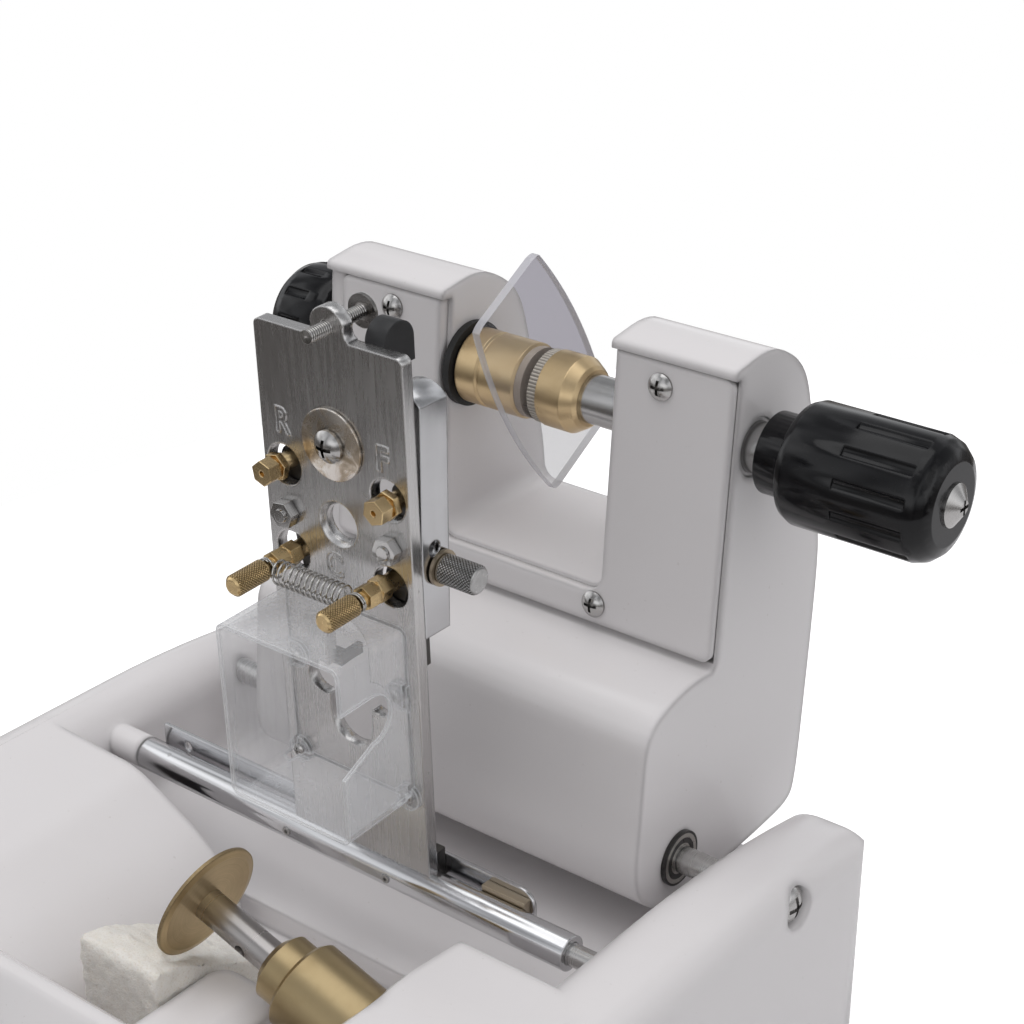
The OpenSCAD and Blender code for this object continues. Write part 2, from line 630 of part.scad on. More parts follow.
module splash_box() color("lightblue", 0.5) at_plate() translate([0, -plate_t / 2, 0]) difference() {
    union() {
        upright(-box_depth, 0) difference() {
            rounded([-box_half, box_u0], [box_half, box_u1], 2.2);
            rounded([-box_half + box_t, box_u0 + box_t], [box_half - box_t, box_u1 - box_t], 1.2);
        }
        // ears and inner tabs that the screws hold
        for (i = [0:3]) upright(-1.2, 0) intersection() {
            union() {
                translate(box_screw_at[i]) circle(3.2);
                if (i > 1) translate([box_screw_at[i][0] > 0 ? box_screw_at[i][0] : box_screw_at[i][0] - 3, box_screw_at[i][1] - 3.2]) square([3, 6.4]);
            }
            translate([-box_half - 3, 0]) square([2 * box_half + 6, 100]);
        }
    }
    // slot for the wheel spindle in the right wall
    translate([box_half - 5.5, 0, 0]) rotate([90, 0, 90]) linear_extrude(12) {
        polygon([[-box_depth - 1, 39.2], [-11.5, 43.8], [-11.5, 55], [-box_depth - 1, 55]]);
        translate([-11.5, 49.4]) circle(5.6);
    }
    for (p = box_screw_at) translate([p[0], 0, p[1]]) {
        rod_y(1 + hair, -5, 1);
        rod_y(1.6, -2.25, -1.2);
    }
}
module splash_box_screws() color("silver") at_plate() for (p = box_screw_at) translate([p[0], -plate_t / 2 - 1.2, p[1]]) {
    rotate([90, 0, 0]) pan_head(1.5, 0.9);
    rod_y(1, 0, 1.2 + plate_t);
}

// ---- guide arms ----

thumb_x = 12.6;
thumb_u = pin_open_u + 0.4;
fit_x = 15.3;
fit_u = fit_open_u - 0.2;
neck_r = 1.6;

// lever, blade and finger of the right arm, drawn in plate coordinates
module arm_body() difference() {
    union() {
        upright(arm_y0, arm_y0 + arm_t) {
            for (p = [[fit_x, fit_u, 3], [arm_pivot_x, arm_pivot_u, 3.2], [thumb_x, thumb_u, 3.2]])
                translate([p[0], p[1]]) circle(p[2]);
            polygon([[fit_x - 2.8, fit_u], [fit_x + 2.8, fit_u], [arm_pivot_x + 2.9, arm_pivot_u],
                [thumb_x + 3.1, thumb_u], [14, 68], [13.6, 62.4], [16.6, 61.4], [16.6, 54.5], [15, 52.4],
                [12.4, 52.4], [11, 54.5], [9, 62.4],
                [thumb_x - 3.1, thumb_u], [arm_pivot_x - 3.1, arm_pivot_u]]);
        }
        // upright blade that shows below the channel
        block([15.2, arm_y0, 53.5], [16.6, arm_y0 + 4.6, 61.4]);
        // finger that reaches in to the lens rim
        upright(arm_y0, arm_y0 + arm_t) polygon([[12.4, 52.4], [15, 52.4], [15, 50], [12, 47.2], [5.2, 47.2],
            [4.6, 47.8], [4.6, 50.4], [5.2, 51], [10.6, 51], [12, 52.4]]);
        block([4.6, arm_y0, 47.8], [6, arm_y0 + 6.5, 50.4]);
    }
    translate([arm_pivot_x, 0, arm_pivot_u]) rod_y(1.5 + run, -1, 20);
    translate([fit_x, 0, fit_u]) rod_y(1.5 + hair, -1, 20);
    translate([thumb_x, 0, thumb_u]) rod_y(neck_r + hair, -1, 20);
}
module fitting() translate([fit_x, 0, fit_u]) difference() {
    union() {
        rod_y(1.5, 0, arm_y0 + arm_t);
        rod_y(2, -plate_t / 2 - 0.4, arm_y0);
        translate([0, -plate_t / 2 - 0.4, 0]) rotate([90, 0, 0]) rotate(45) hex(5.6, 1.7);
        rod_y(2, -plate_t / 2 - 3, -plate_t / 2);
        translate([0, -plate_t / 2 - 2.6, 0]) rotate([90, 0, 0]) rotate(20) hex(5, 3.2);
    }
    rod_y(0.65, -12, -1);
}
// lengths of the thumb pin's steps, from the plate outwards
hex_a = 3.2;
hex_b = 3.2;
neck_len = 3;
grip_len = 9;
grip_r = 2.45;
pin_tip = hex_a + hex_b + 1.2 + neck_len + grip_len;
module thumb_pin() translate([thumb_x, 0, thumb_u]) {
    rod_y(neck_r, 0, arm_y0 + arm_t);
    rod_y(2.1, -plate_t / 2 - 0.6, arm_y0);
    translate([0, -plate_t / 2 - 0.6, 0]) rotate([90, 0, 0]) {
        rotate(12) hex(4.8, hex_a);
        translate([0, 0, hex_a]) cylinder(r = 2.3, h = 0.6);
        translate([0, 0, hex_a + 0.6]) rotate(28) hex(4.8, hex_b);
        translate([0, 0, hex_a + hex_b + 0.6]) cylinder(r = neck_r, h = neck_len);
        translate([0, 0, hex_a + hex_b + 0.6 + neck_len]) rotate_extrude()
            polygon([[0, 0], [grip_r, 0], [grip_r, grip_len - 0.8], [grip_r - 0.8, grip_len], [0, grip_len]]);
    }
}
module arm_right() color("gray") at_plate() arm_body();
module arm_left() color("gray") at_plate() mirror([1, 0, 0]) arm_body();
module fitting_right() color("goldenrod") at_plate() fitting();
module fitting_left() color("goldenrod") at_plate() mirror([1, 0, 0]) fitting();
module thumb_pin_right() color("goldenrod") at_plate() thumb_pin();
module thumb_pin_left() color("goldenrod") at_plate() mirror([1, 0, 0]) thumb_pin();

// ---- arm spring: one tube, a loop round each thumb pin's neck and curls between ----

spring_y = -plate_t / 2 - 0.6 - hex_a - hex_b - 0.6 - neck_len / 2;
spring_R = 2.2;
loop_R = neck_r + spring_wire / 2 + 0.15;
loop_steps = 20;
coil_x = thumb_x - loop_R;
coil_steps = 8 * spring_curls;
ramp = 6;
function loop_pt(a) = [-thumb_x + loop_R * cos(a), spring_y, thumb_u + loop_R * sin(a)];
function coil_r(i) = spring_R * min(1, i / ramp, (coil_steps - i) / ramp);
function coil_pt(i) = [-coil_x + 2 * coil_x * i / coil_steps,
    spring_y - coil_r(i) * sin(i * 45),
    thumb_u + coil_r(i) * cos(i * 45)];
spring_half = [for (k = [0:loop_steps - 1]) loop_pt(60 + 300 * k / loop_steps)];
spring_path = concat(spring_half, [for (i = [0:coil_steps]) coil_pt(i)],
    [for (k = [loop_steps - 1:-1:0]) let (p = spring_half[k]) [-p[0], p[1], p[2]]]);
function unit(v) = v / norm(v);
function tangent(P, i) = unit(P[min(i + 1, len(P) - 1)] - P[max(i - 1, 0)]);
ref = [1, 1, 0] / sqrt(2);
function ring(P, i, r, n) = let (t = tangent(P, i), a = unit(cross(ref, t)), b = cross(t, a))
    [for (k = [0:n - 1]) P[i] + r * cos(k * 360 / n) * a + r * sin(k * 360 / n) * b];
module wire(P, r, n = 6) {
    m = len(P);
    pts = [for (i = [0:m - 1]) each ring(P, i, r, n)];
    sides = [for (i = [0:m - 2], k = [0:n - 1]) let (a = i * n + k, b = i * n + (k + 1) % n)
        each [[a, b, b + n], [a, b + n, a + n]]];
    caps = [for (k = [1:n - 2]) each [[0, k + 1, k], [(m - 1) * n, (m - 1) * n + k, (m - 1) * n + k + 1]]];
    polyhedron(points = pts, faces = concat(sides, caps), convexity = 10);
}
// least gap of the wire to itself, over points at least five steps apart
spring_gap = min([for (i = [0:len(spring_path) - 1], j = [i + 5:len(spring_path) - 1])
    if (j - i >= 5) norm(spring_path[i] - spring_path[j])]) - spring_wire;
module arm_spring() color("gainsboro") {
    echo(spring_gap = spring_gap);
    at_plate() wire(spring_path, spring_wire / 2);
}

// ---- head ----

// side profile of the head from the top front corner round the back, with the reach of each corner's rounding
head_pts = [[17.5 - lip, 112, 1.2], [28.9, 114, 8], [38.6, 109, 8], [44, 103.4, 8], [46.9, 95, 8], [54, 60.7, 12],
    [54.5, 51.7, 12], [53.3, 30, 12], [50.6, -4, 12], [48.2, -9.6, 6], [34.8, -10.9, 8], [19, -11.6, 8],
    [9.8, -13, 8], [-2, -12.6, 6], [-13.4, -6.6, 6], [-16.4, 2, 6], [-14.4, 25, 8], [-13.2, 39, 12],
    [2, 43.3, 12], [12.2, 42.4, 1], [17.34, 110, 0.3], [17.34 - lip, 109.85, 0.6]];
cover_y = 12.2;
cover_z = 42.4;
head_top = 112;
cover_lean = atan2(17.5 - cover_y, head_top - cover_z);
// corners rounded with a short curve that reaches no further than half of each side
function corner(a, p, b, d) = let (u = a - p, v = b - p, s = p + u * min(d / norm(u), 0.48), e = p + v * min(d / norm(v), 0.48))
    [for (k = [0:5]) let (t = k / 5) (1 - t) * (1 - t) * s + 2 * t * (1 - t) * p + t * t * e];
function xy(p) = [p[0], p[1]];
function rounded_path(P) = let (n = len(P))
    [for (i = [0:n - 1]) each corner(xy(P[(i + n - 1) % n]), xy(P[i]), xy(P[(i + 1) % n]), P[i][2])];
module head_side() polygon(rounded_path(head_pts));
module head_housing() color("white") at_pivot() difference() {
    along_x(-head_left, head_right) head_side();
    // lens gap between the towers
    difference() {
        union() {
            block([-tower_l, -10, gap_floor + 4], [tower_r, 70, 130]);
            block([-tower_l + 4, -10, gap_floor], [tower_r - 4, 70, 60]);
            for (x = [-tower_l + 4, tower_r - 4]) translate([x, 0, gap_floor + 4]) rod_y(4, -10, 70);
        }
    }
    // seat of the front cover, with a lip left over it
    translate([0, cover_y, cover_z]) rotate([-cover_lean, 0, 0]) {
        block([-head_left + 4.5, -8, 1.6], [head_right - 0.6, cover_in, seat_top]);
    }
    // pivot bore and bush seats
    rod_x(pivot_r + 0.6, -head_left - 1, head_right + 1);
    for (s = [-1, 1]) rod_x(5.5 + hair, s > 0 ? head_right - 8 : -head_left - 1, s > 0 ? head_right + 1 : -head_left + 8);
    // spindle bores
    translate([0, spindle_back, spindle_up]) {
        rod_x(spindle_r + run, -head_left - 1, 0);
        rod_x(bush_r + run, 0, head_right + 1);
    }
}
module head_cover() color("whitesmoke") at_pivot() translate([0, cover_y, cover_z]) rotate([-cover_lean, 0, 0]) difference() {
    upright(-cover_t + cover_in, cover_in - 0.02) difference() {
        rounded([-head_left + 4.7, 1.8], [head_right - 0.8, seat_top - 0.2], 2.4);
        rounded([-tower_l - 1.1, 9], [tower_r + 1.1, 90], 5);
    }
    for (p = cover_screw_at) translate([p[0], 0, p[1]]) rod_y(1.5 + hair, -6, 6);
}
cover_screw_at = [[-39.9, 62.6], [36, 61.8], [22.4, 6.4], [-24, 5.6]];
// depth and top of the cover's seat
cover_in = 1.6;
seat_top = norm([17.5 - cover_y, head_top - cover_z]) - 2.2;
module cover_screws() color("silver") at_pivot() translate([0, cover_y, cover_z]) rotate([-cover_lean, 0, 0])
    for (p = cover_screw_at) translate([p[0], -cover_t + cover_in, p[1]]) {
        rotate([90, 0, 0]) pan_head(3.1, 1.8);
        rod_y(1.5, 0, cover_t - 0.1);
    }

module pivot_bushes() color("dimgray") at_pivot() for (s = [-1, 1]) difference() {
    union() {
        rod_x(6.6, s > 0 ? head_right : -head_left - 1, s > 0 ? head_right + 1 : -head_left);
        rod_x(5.5, s > 0 ? head_right - 7.8 : -head_left, s > 0 ? head_right : -head_left + 7.8);
    }
    rod_x(pivot_r + run, -head_left - 3, head_right + 3);
}
module pivot_shaft() color("silver") at_pivot() difference() {
    rod_x(pivot_r, -wall_in_l - 7.8, x_r - 7.2);
    rod_x(2.05, x_r - 8, x_r);
}

// ---- lens spindle ----

lens_x0 = -lens_off - lens_t / 2;
lens_x1 = -lens_off + lens_t / 2;
pad_t = 1.9;
seal_x = -tower_l;
module spindle_seal() color("black") at_spindle() difference() {
    rod_x(10.2, -tower_l, -tower_l + 1.8);
    rod_x(spindle_r + 0.4, -60, 60);
}
module left_spindle() color("silver") at_spindle()
    rod_x(spindle_r, -head_left - gap - neck_l_knob - seat_l, -tower_l + 2.2);
module left_chuck() color("goldenrod") at_spindle() translate([-tower_l + 2.2, 0, 0]) rotate([0, 90, 0]) rotate_extrude()
    polygon([[0, 0], [chuck_r - 0.5, 0], [chuck_r, 0.5], [chuck_r, 6.1], [chuck_r - 0.5, 6.6], [chuck_r - 0.5, 7],
        [chuck_r, 7.4], [chuck_r, lens_x0 - pad_t + tower_l - 2.7], [chuck_r - 0.5, lens_x0 - pad_t + tower_l - 2.2],
        [0, lens_x0 - pad_t + tower_l - 2.2]]);
module lens_pads() color("gray") at_spindle() rod_x(chuck_r - 0.6, lens_x0 - pad_t, lens_x0);
lens_turn = -59.3;
lens_corner = 6;
lens_bow = 120;
// the lens is clamped off its middle
lens_shift = [-2.8, 0.7];
module lens() color("lightcyan", 0.4) at_spindle() rotate([lens_turn, 0, 0]) along_x(lens_x0, lens_x1) translate(lens_shift) intersection() {
    rounded([-lens_len / 2, -lens_wid / 2], [lens_len / 2, lens_wid / 2], lens_corner);
    translate([0, lens_wid / 2 - lens_bow]) circle(lens_bow, $fn = 360);
    translate([0, lens_bow - lens_wid / 2]) circle(lens_bow, $fn = 360);
}
ring_t = 2.4;
module clamp_ring() color("whitesmoke") at_spindle() rod_x(chuck_r - 0.3, lens_x1, lens_x1 + ring_t);
bush_r = spindle_r + 1.1;
module right_bush() color("darkgoldenrod") at_spindle() difference() {
    rod_x(bush_r, tower_r + 0.5, head_right - 0.5);
    rod_x(spindle_r + run, 0, head_right + 1);
}
chuck_x0 = lens_x1 + ring_t;
chuck_x1 = 11.6;
module right_chuck() color("goldenrod") at_spindle() translate([chuck_x0, 0, 0]) rotate([0, 90, 0]) rotate_extrude()
    polygon([[0, 0], [chuck_r, 0], [chuck_r, 6.6], [chuck_r - 1.6, chuck_x1 - chuck_x0 - 0.8], [chuck_r - 2.4, chuck_x1 - chuck_x0], [0, chuck_x1 - chuck_x0]]);
module right_spindle() color("silver") at_spindle() rod_x(spindle_r, chuck_x1, head_right + gap + neck_r_knob + seat_r);

// depth of each spindle in its knob's body
seat_r = 10;
seat_l = 6;
module knob(neck, len, seat, off, plain) difference() {
    union() {
        translate([0, 0, off]) cylinder(r = 9.2, h = neck - off + 0.5);
        difference() {
            translate([0, 0, neck]) rotate_extrude() polygon([[0, 0], [knob_r - 2.6, 0], [knob_r - 0.8, 0.8], [knob_r, 2.6],
                [knob_r, len - 5], [knob_r - 0.8, len - 2.6], [knob_r - 2.4, len - 0.8], [knob_r - 4.6, len], [0, len]]);
            for (i = [0:knob_flutes - 1]) rotate((i + 0.5) * 360 / knob_flutes)
                translate([knob_r + 0.9, 0, neck + plain]) cylinder(r = 1.6, h = len - plain - 4.5, $fn = 24);
        }
    }
    translate([0, 0, -1]) cylinder(r = spindle_r + hair, h = neck + seat + 1.05);
    translate([0, 0, neck + seat - 1]) cylinder(r = 2.5 + hair, h = len);
}
module knob_end_screw(neck, len, seat) translate([0, 0, neck + len]) difference() {
    union() {
        translate([0, 0, seat + 0.2 - len]) cylinder(r = 2.5, h = len - seat - 0.2);
        rotate_extrude() polygon([[0, 0], [4.8, 0], [4.8, 0.5], [1.6, screw_out], [0, screw_out]]);
    }
    for (a = [0, 90]) rotate(a) translate([-1.7, -0.4, 0.9]) cube([3.4, 0.8, 4]);
}
module right_knob() color("black") at_spindle() translate([head_right + gap, 0, 0]) rotate([0, 90, 0])
    knob(neck_r_knob, knob_len, seat_r, 4.3, 14.5);
module left_knob() color("black") at_spindle() translate([-head_left - gap, 0, 0]) rotate([0, -90, 0])
    knob(neck_l_knob, knob_len_l, seat_l, 0, 6);
module right_knob_screw() color("silver") at_spindle() translate([head_right + gap, 0, 0]) rotate([0, 90, 0])
    knob_end_screw(neck_r_knob, knob_len, seat_r);
module left_knob_screw() color("silver") at_spindle() translate([-head_left - gap, 0, 0]) rotate([0, -90, 0])
    knob_end_screw(neck_l_knob, knob_len_l, seat_l);

base_housing();
bottom_plate();
rubber_feet();
deck_screws();
side_screws();
power_inlet();
switch_frames();
wheel_rocker();
spindle_rocker();
depth_dial();
sponge();
wheel_motor();
bearing_sleeve();
wheel_spindle();
grinding_wheel();
guide_pin();
pivot_shaft();
guide_tube();
tube_screws();
leaf_strip();
strip_clamp();
strip_bumper();
guide_plate();
ear_screw();
big_washer();
washer_screw();
arm_pivot_screws();
guide_bar();
stop_pad();
adjusting_knob();
knob_washer();
splash_box();
splash_box_screws();
arm_left();
fitting_left();
thumb_pin_left();
arm_right();
fitting_right();
thumb_pin_right();
arm_spring();
head_housing();
head_cover();
cover_screws();
pivot_bushes();
spindle_seal();
left_spindle();
left_chuck();
lens_pads();
lens();
clamp_ring();
right_chuck();
right_bush();
right_spindle();
left_knob();
right_knob();
left_knob_screw();
right_knob_screw();
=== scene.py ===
import bpy
import bmesh
import math
from mathutils import Vector, Matrix, noise


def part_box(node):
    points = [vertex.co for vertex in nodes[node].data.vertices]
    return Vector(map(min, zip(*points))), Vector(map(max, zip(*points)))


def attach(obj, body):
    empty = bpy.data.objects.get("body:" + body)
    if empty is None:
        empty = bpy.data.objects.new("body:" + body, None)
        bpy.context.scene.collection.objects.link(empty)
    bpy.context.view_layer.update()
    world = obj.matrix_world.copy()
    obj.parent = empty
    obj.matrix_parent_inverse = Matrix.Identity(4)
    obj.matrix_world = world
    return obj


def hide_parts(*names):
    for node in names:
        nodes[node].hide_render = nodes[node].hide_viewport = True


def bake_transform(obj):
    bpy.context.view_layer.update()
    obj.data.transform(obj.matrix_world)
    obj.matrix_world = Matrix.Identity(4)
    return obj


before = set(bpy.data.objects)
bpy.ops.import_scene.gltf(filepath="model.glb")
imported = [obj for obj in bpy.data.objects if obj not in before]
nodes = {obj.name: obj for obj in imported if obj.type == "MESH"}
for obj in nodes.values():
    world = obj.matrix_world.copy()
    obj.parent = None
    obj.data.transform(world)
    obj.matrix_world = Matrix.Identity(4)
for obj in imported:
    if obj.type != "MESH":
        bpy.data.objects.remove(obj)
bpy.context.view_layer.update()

MM = 0.001

# Places, in metres, and angles
GUIDE = Vector((-2.4, 6.2919, 61.0)) * MM        # middle of the guide plate, on its tube's axis
PIVOT = GUIDE + Vector((0, 43, 0)) * MM          # axis on which the head swings
SPINDLE = PIVOT + Vector((0, 25, 92)) * MM       # axis of both lens spindles
WHEEL = GUIDE + Vector((0, -49, 15.5)) * MM      # middle of the grinding wheel
KNOB = GUIDE + Vector((0, 3.6, 78)) * MM         # axis of the adjusting knob
LEAN = math.radians(2.4)                         # how far the guide plate leans back
TILT = math.radians(17)                          # how far the wheel's axis dips

# Sizes, in mm unless the comment says otherwise
PLATE_FRONT = -1.5     # the guide plate's front face, from its middle plane
WASHER_U = 103.4       # the big washer's height up the plate
EAR_SCREW_X = 0.5
EAR_SCREW_U = 129
PIN_X = 12.6           # a thumb pin's distance from the plate's middle
PIN_U = 75.0           # and its height up the plate

WHEEL_T = 1.6
SPINDLE_R = 3.5        # the wheel spindle
SPINDLE_END = 62.0     # its hidden end, along its axis
STUB_R = 2.5           # the thinner stub that carries the wheel
STUB_START = -5.0
CROSS_R = 1.4          # the hole across the wheel spindle
CROSS_AT = 13.5        # how far along the spindle it lies
CROSS_REACH = 10       # half the length of the cutter that makes it
CROSS_TURN = math.radians(14)

SLOT_R = 14.4          # the slot that the wheel has cut in the sponge
SLOT_W = 2.8
FOAM_GRAIN = 0.7       # cell size of the sponge's mesh

LOOP_R = 2.05          # the arm spring's loop round a pin's neck
COIL_R = 2.55
COIL_Y = -10.6         # the coil's axis, in front of the plate
COIL_TURNS = 14        # how many turns, not a length
WIRE_R = 0.25
WIRE_SIDES = 8         # how many sides the round wire has

FLOOR_MID = 0.124      # the floor disc, in metres
FLOOR_R = 0.44

ROUND = 96             # sides of a turned part and of the floor

# The photograph's camera: its place in metres, its angles and its lens
CAMERA = GUIDE + Vector((276.95, -299.1, 281.4)) * MM
AZIMUTH = math.radians(38.2)
ELEVATION = math.radians(25.7)
FOCAL_PX = 2172        # focal length and width of the picture, in pixels
PHOTO_PX = 1024
SENSOR = 36            # width of the sensor, in mm

# Axes: x across the plate, y to the back and z up it. The others have their z along the part's axis.
PLATE = Matrix.Translation(GUIDE) @ Matrix.Rotation(LEAN, 4, "X")
ALONG_X = Matrix(((0, 0, 1, 0), (1, 0, 0, 0), (0, 1, 0, 0), (0, 0, 0, 1)))
WHEEL_AXIS = Matrix.Translation(WHEEL) @ Matrix.Rotation(math.radians(90) + TILT, 4, "Y")
LENS_AXIS = Matrix.Translation(SPINDLE) @ ALONG_X
PIVOT_AXIS = Matrix.Translation(PIVOT) @ ALONG_X
KNOB_AXIS = Matrix.Translation(KNOB) @ ALONG_X


def out_of_plate(x, u, depth=0.0):
    """Axes at x across and u up the plate, whose z runs out of its front."""
    at = Matrix.Translation((x * MM, depth * MM, u * MM))
    return PLATE @ at @ Matrix.Rotation(math.radians(90), 4, "X")


# Shader nodes
class Tree:
    """The shader nodes of one material or of the world, under short names."""

    SAMPLES = 6

    def __init__(self, owner, output="ShaderNodeOutputMaterial"):
        self.owner = owner
        owner.use_nodes = True
        self.nt = owner.node_tree
        self.nt.nodes.clear()
        self.out = self.add(output)
        self.coord = self.add("ShaderNodeTexCoord")

    def add(self, kind, **props):
        node = self.nt.nodes.new(kind)
        for key, value in props.items():
            setattr(node, key, value)
        return node

    def link(self, source, socket):
        self.nt.links.new(source, socket)

    def feed(self, socket, value):
        """Sets a number or a colour on the socket, or links another node's output to it."""
        if isinstance(value, (int, float)):
            socket.default_value = value
        elif isinstance(value, tuple):
            socket.default_value = (*value, 1)
        else:
            self.link(value, socket)

    def obj(self):
        return self.coord.outputs["Object"]

    def mapped(self, scale=(1, 1, 1), rot=(0, 0, 0), loc=(0, 0, 0)):
        m = self.add("ShaderNodeMapping")
        for key, value in (("Scale", scale), ("Rotation", rot), ("Location", loc)):
            m.inputs[key].default_value = value
        self.link(self.obj(), m.inputs["Vector"])
        return m.outputs["Vector"]

    def noise(self, where, scale, detail, rough=0.55, distortion=0.0):
        n = self.add("ShaderNodeTexNoise")
        values = {"Scale": scale, "Detail": detail, "Roughness": rough, "Distortion": distortion}
        for key, value in values.items():
            n.inputs[key].default_value = value
        self.link(where, n.inputs["Vector"])
        return n.outputs["Fac"]

    def voronoi(self, where, scale):
        n = self.add("ShaderNodeTexVoronoi")
        n.inputs["Scale"].default_value = scale
        self.link(where, n.inputs["Vector"])
        return n.outputs["Distance"]

    def ramp(self, fac, stops):
        r = self.add("ShaderNodeValToRGB")
        elements = r.color_ramp.elements
        while len(elements) < len(stops):
            elements.new(0.5)
        for element, (position, color) in zip(elements, stops):
            element.position = position
            element.color = (*color, 1)
        self.link(fac, r.inputs["Fac"])
        return r.outputs["Color"]

    def shade(self, fac, low, high):
        """From one colour to the other over the middle of a noise."""
        return self.ramp(fac, [(0.3, low), (0.7, high)])

    def span(self, fac, lo, hi, a=0.0, b=1.0):
        m = self.add("ShaderNodeMapRange")
        for key, value in zip(("From Min", "From Max", "To Min", "To Max"), (lo, hi, a, b)):
            m.inputs[key].default_value = value
        self.link(fac, m.inputs["Value"])
        return m.outputs["Result"]

    def rounded(self, radius):
        """Normal that softens edges and inner corners of this radius."""
        b = self.add("ShaderNodeBevel", samples=self.SAMPLES)
        b.inputs["Radius"].default_value = radius
        return b.outputs["Normal"]

    def edges(self, radius):
        """1 along edges and corners, 0 on open faces."""
        g = self.add("ShaderNodeNewGeometry")
        d = self.add("ShaderNodeVectorMath", operation="DOT_PRODUCT")
        self.link(self.rounded(radius), d.inputs[0])
        self.link(g.outputs["Normal"], d.inputs[1])
        return self.span(d.outputs["Value"], 0.86, 0.995, 1.0, 0.0)

    def seam(self, distance, lo, hi, own=False):
        """1 where a face lies close to another within this distance, 0 in the open.

        With own, only faces of the same piece count.
        """
        g = self.add("ShaderNodeAmbientOcclusion", samples=self.SAMPLES, only_local=own)
        g.inputs["Distance"].default_value = distance
        return self.span(g.outputs["AO"], lo, hi, 1.0, 0.0)

    def join(self, x, y, z):
        c = self.add("ShaderNodeCombineXYZ")
        for socket, value in zip(c.inputs, (x, y, z)):
            self.feed(socket, value)
        return c.outputs[0]

    def cyl(self, axes):
        """Angle, radius and height of a point about the z axis of these axes."""
        inverse = axes.inverted()
        local = self.mapped(rot=tuple(inverse.to_euler()), loc=tuple(inverse.translation))
        split = self.add("ShaderNodeSeparateXYZ")
        self.link(local, split.inputs[0])
        x, y, z = split.outputs
        radius = self.math("SQRT", self.plus(self.times(x, x), self.times(y, y)))
        return self.math("ARCTAN2", y, x), radius, z

    def math(self, operation, a, b=None):
        m = self.add("ShaderNodeMath", operation=operation)
        self.feed(m.inputs[0], a)
        if b is not None:
            self.feed(m.inputs[1], b)
        return m.outputs["Value"]

    def times(self, a, b):
        return self.math("MULTIPLY", a, b)

    def plus(self, a, b):
        return self.math("ADD", a, b)

    def mix(self, fac, a, b):
        m = self.add("ShaderNodeMix", data_type="RGBA")
        for socket, value in ((m.inputs["Factor"], fac), (m.inputs[6], a), (m.inputs[7], b)):
            self.feed(socket, value)
        return m.outputs[2]

    def bump(self, height, strength, distance, normal=None):
        b = self.add("ShaderNodeBump")
        b.inputs["Strength"].default_value = strength
        b.inputs["Distance"].default_value = distance
        self.link(height, b.inputs["Height"])
        if normal is not None:
            self.link(normal, b.inputs["Normal"])
        return b.outputs["Normal"]

    def shader(self, color, rough, normal=None, **constants):
        """The surface of the material. An underscore in a constant's name stands for a space."""
        p = self.add("ShaderNodeBsdfPrincipled")
        for key, value in (("Base Color", color), ("Roughness", rough), ("Normal", normal)):
            if value is not None:
                self.feed(p.inputs[key], value)
        for key, value in constants.items():
            p.inputs[key.replace("_", " ")].default_value = value
        self.link(p.outputs["BSDF"], self.out.inputs["Surface"])
        return p

    def background(self, color, strength):
        b = self.add("ShaderNodeBackground")
        self.feed(b.inputs["Color"], color)
        self.feed(b.inputs["Strength"], strength)
        return b.outputs[0]

    def either(self, fac, a, b):
        """One shader where fac is 0 and the other where it is 1."""
        m = self.add("ShaderNodeMixShader")
        for socket, value in zip(m.inputs, (fac, a, b)):
            self.link(value, socket)
        return m.outputs[0]


def material(name):
    """The empty node tree of a new material."""
    return Tree(bpy.data.materials.new(name))


# Materials, with their lengths in metres
def white_enamel():
    """Gloss paint with a faint orange peel, soft shade in its seams and a few specks."""
    t = material("white_enamel")
    soft = t.noise(t.obj(), 9, 3)
    peel = t.noise(t.obj(), 420, 2)
    col = t.shade(soft, (0.79, 0.77, 0.775), (0.82, 0.80, 0.805))
    col = t.mix(t.times(t.seam(0.0025, 0.15, 0.75), 0.55), col, (0.22, 0.215, 0.21))
    specks = t.span(t.noise(t.mapped(loc=(3, 1, 2)), 900, 2, 0.4), 0.74, 0.80, 0, 0.25)
    col = t.mix(specks, col, (0.50, 0.46, 0.42))
    rough = t.span(t.noise(t.obj(), 14, 1), 0.2, 0.8, 0.20, 0.25)
    t.shader(col, rough, t.bump(peel, 0.02, 0.0001, t.rounded(0.0028)), IOR=1.48)
    return t.owner


def polished_chrome(name, streaks, base, lo, hi, dust):
    """Chrome with brushed streaks, patches of dust, small dark spots and painted shade in its own corners
    and seams.
    """
    t = material(name)
    fine = t.noise(t.mapped(streaks), 1.0, 5, 0.62)
    hair = t.noise(t.mapped(tuple(v * 3 for v in streaks), loc=(5, 2, 1)), 1.0, 2, 0.5)
    broad = t.noise(t.obj(), 48, 5, 0.6)
    spots = t.span(t.noise(t.mapped(loc=(2, 7, 4)), 260, 3, 0.5), 0.70, 0.80)
    col = t.mix(t.span(broad, 0.35, 0.7, 0, dust), base, tuple(c * 0.8 for c in base))
    col = t.mix(t.times(spots, 0.5), col, (0.20, 0.19, 0.18))
    # Painted shade: darker where faces of the same piece lie close.
    col = t.mix(t.times(t.seam(0.0011, 0.35, 0.9, own=True), 0.8), col, (0.05, 0.047, 0.045))
    rough = t.span(t.plus(t.times(fine, 0.6), t.times(broad, 0.4)), 0.3, 0.7, lo, hi)
    rough = t.plus(rough, t.times(spots, 0.2))
    normal = t.bump(fine, 0.18, 0.00007, t.rounded(0.0006))
    t.shader(col, rough, t.bump(hair, 0.10, 0.00004, normal), Metallic=1.0)
    return t.owner


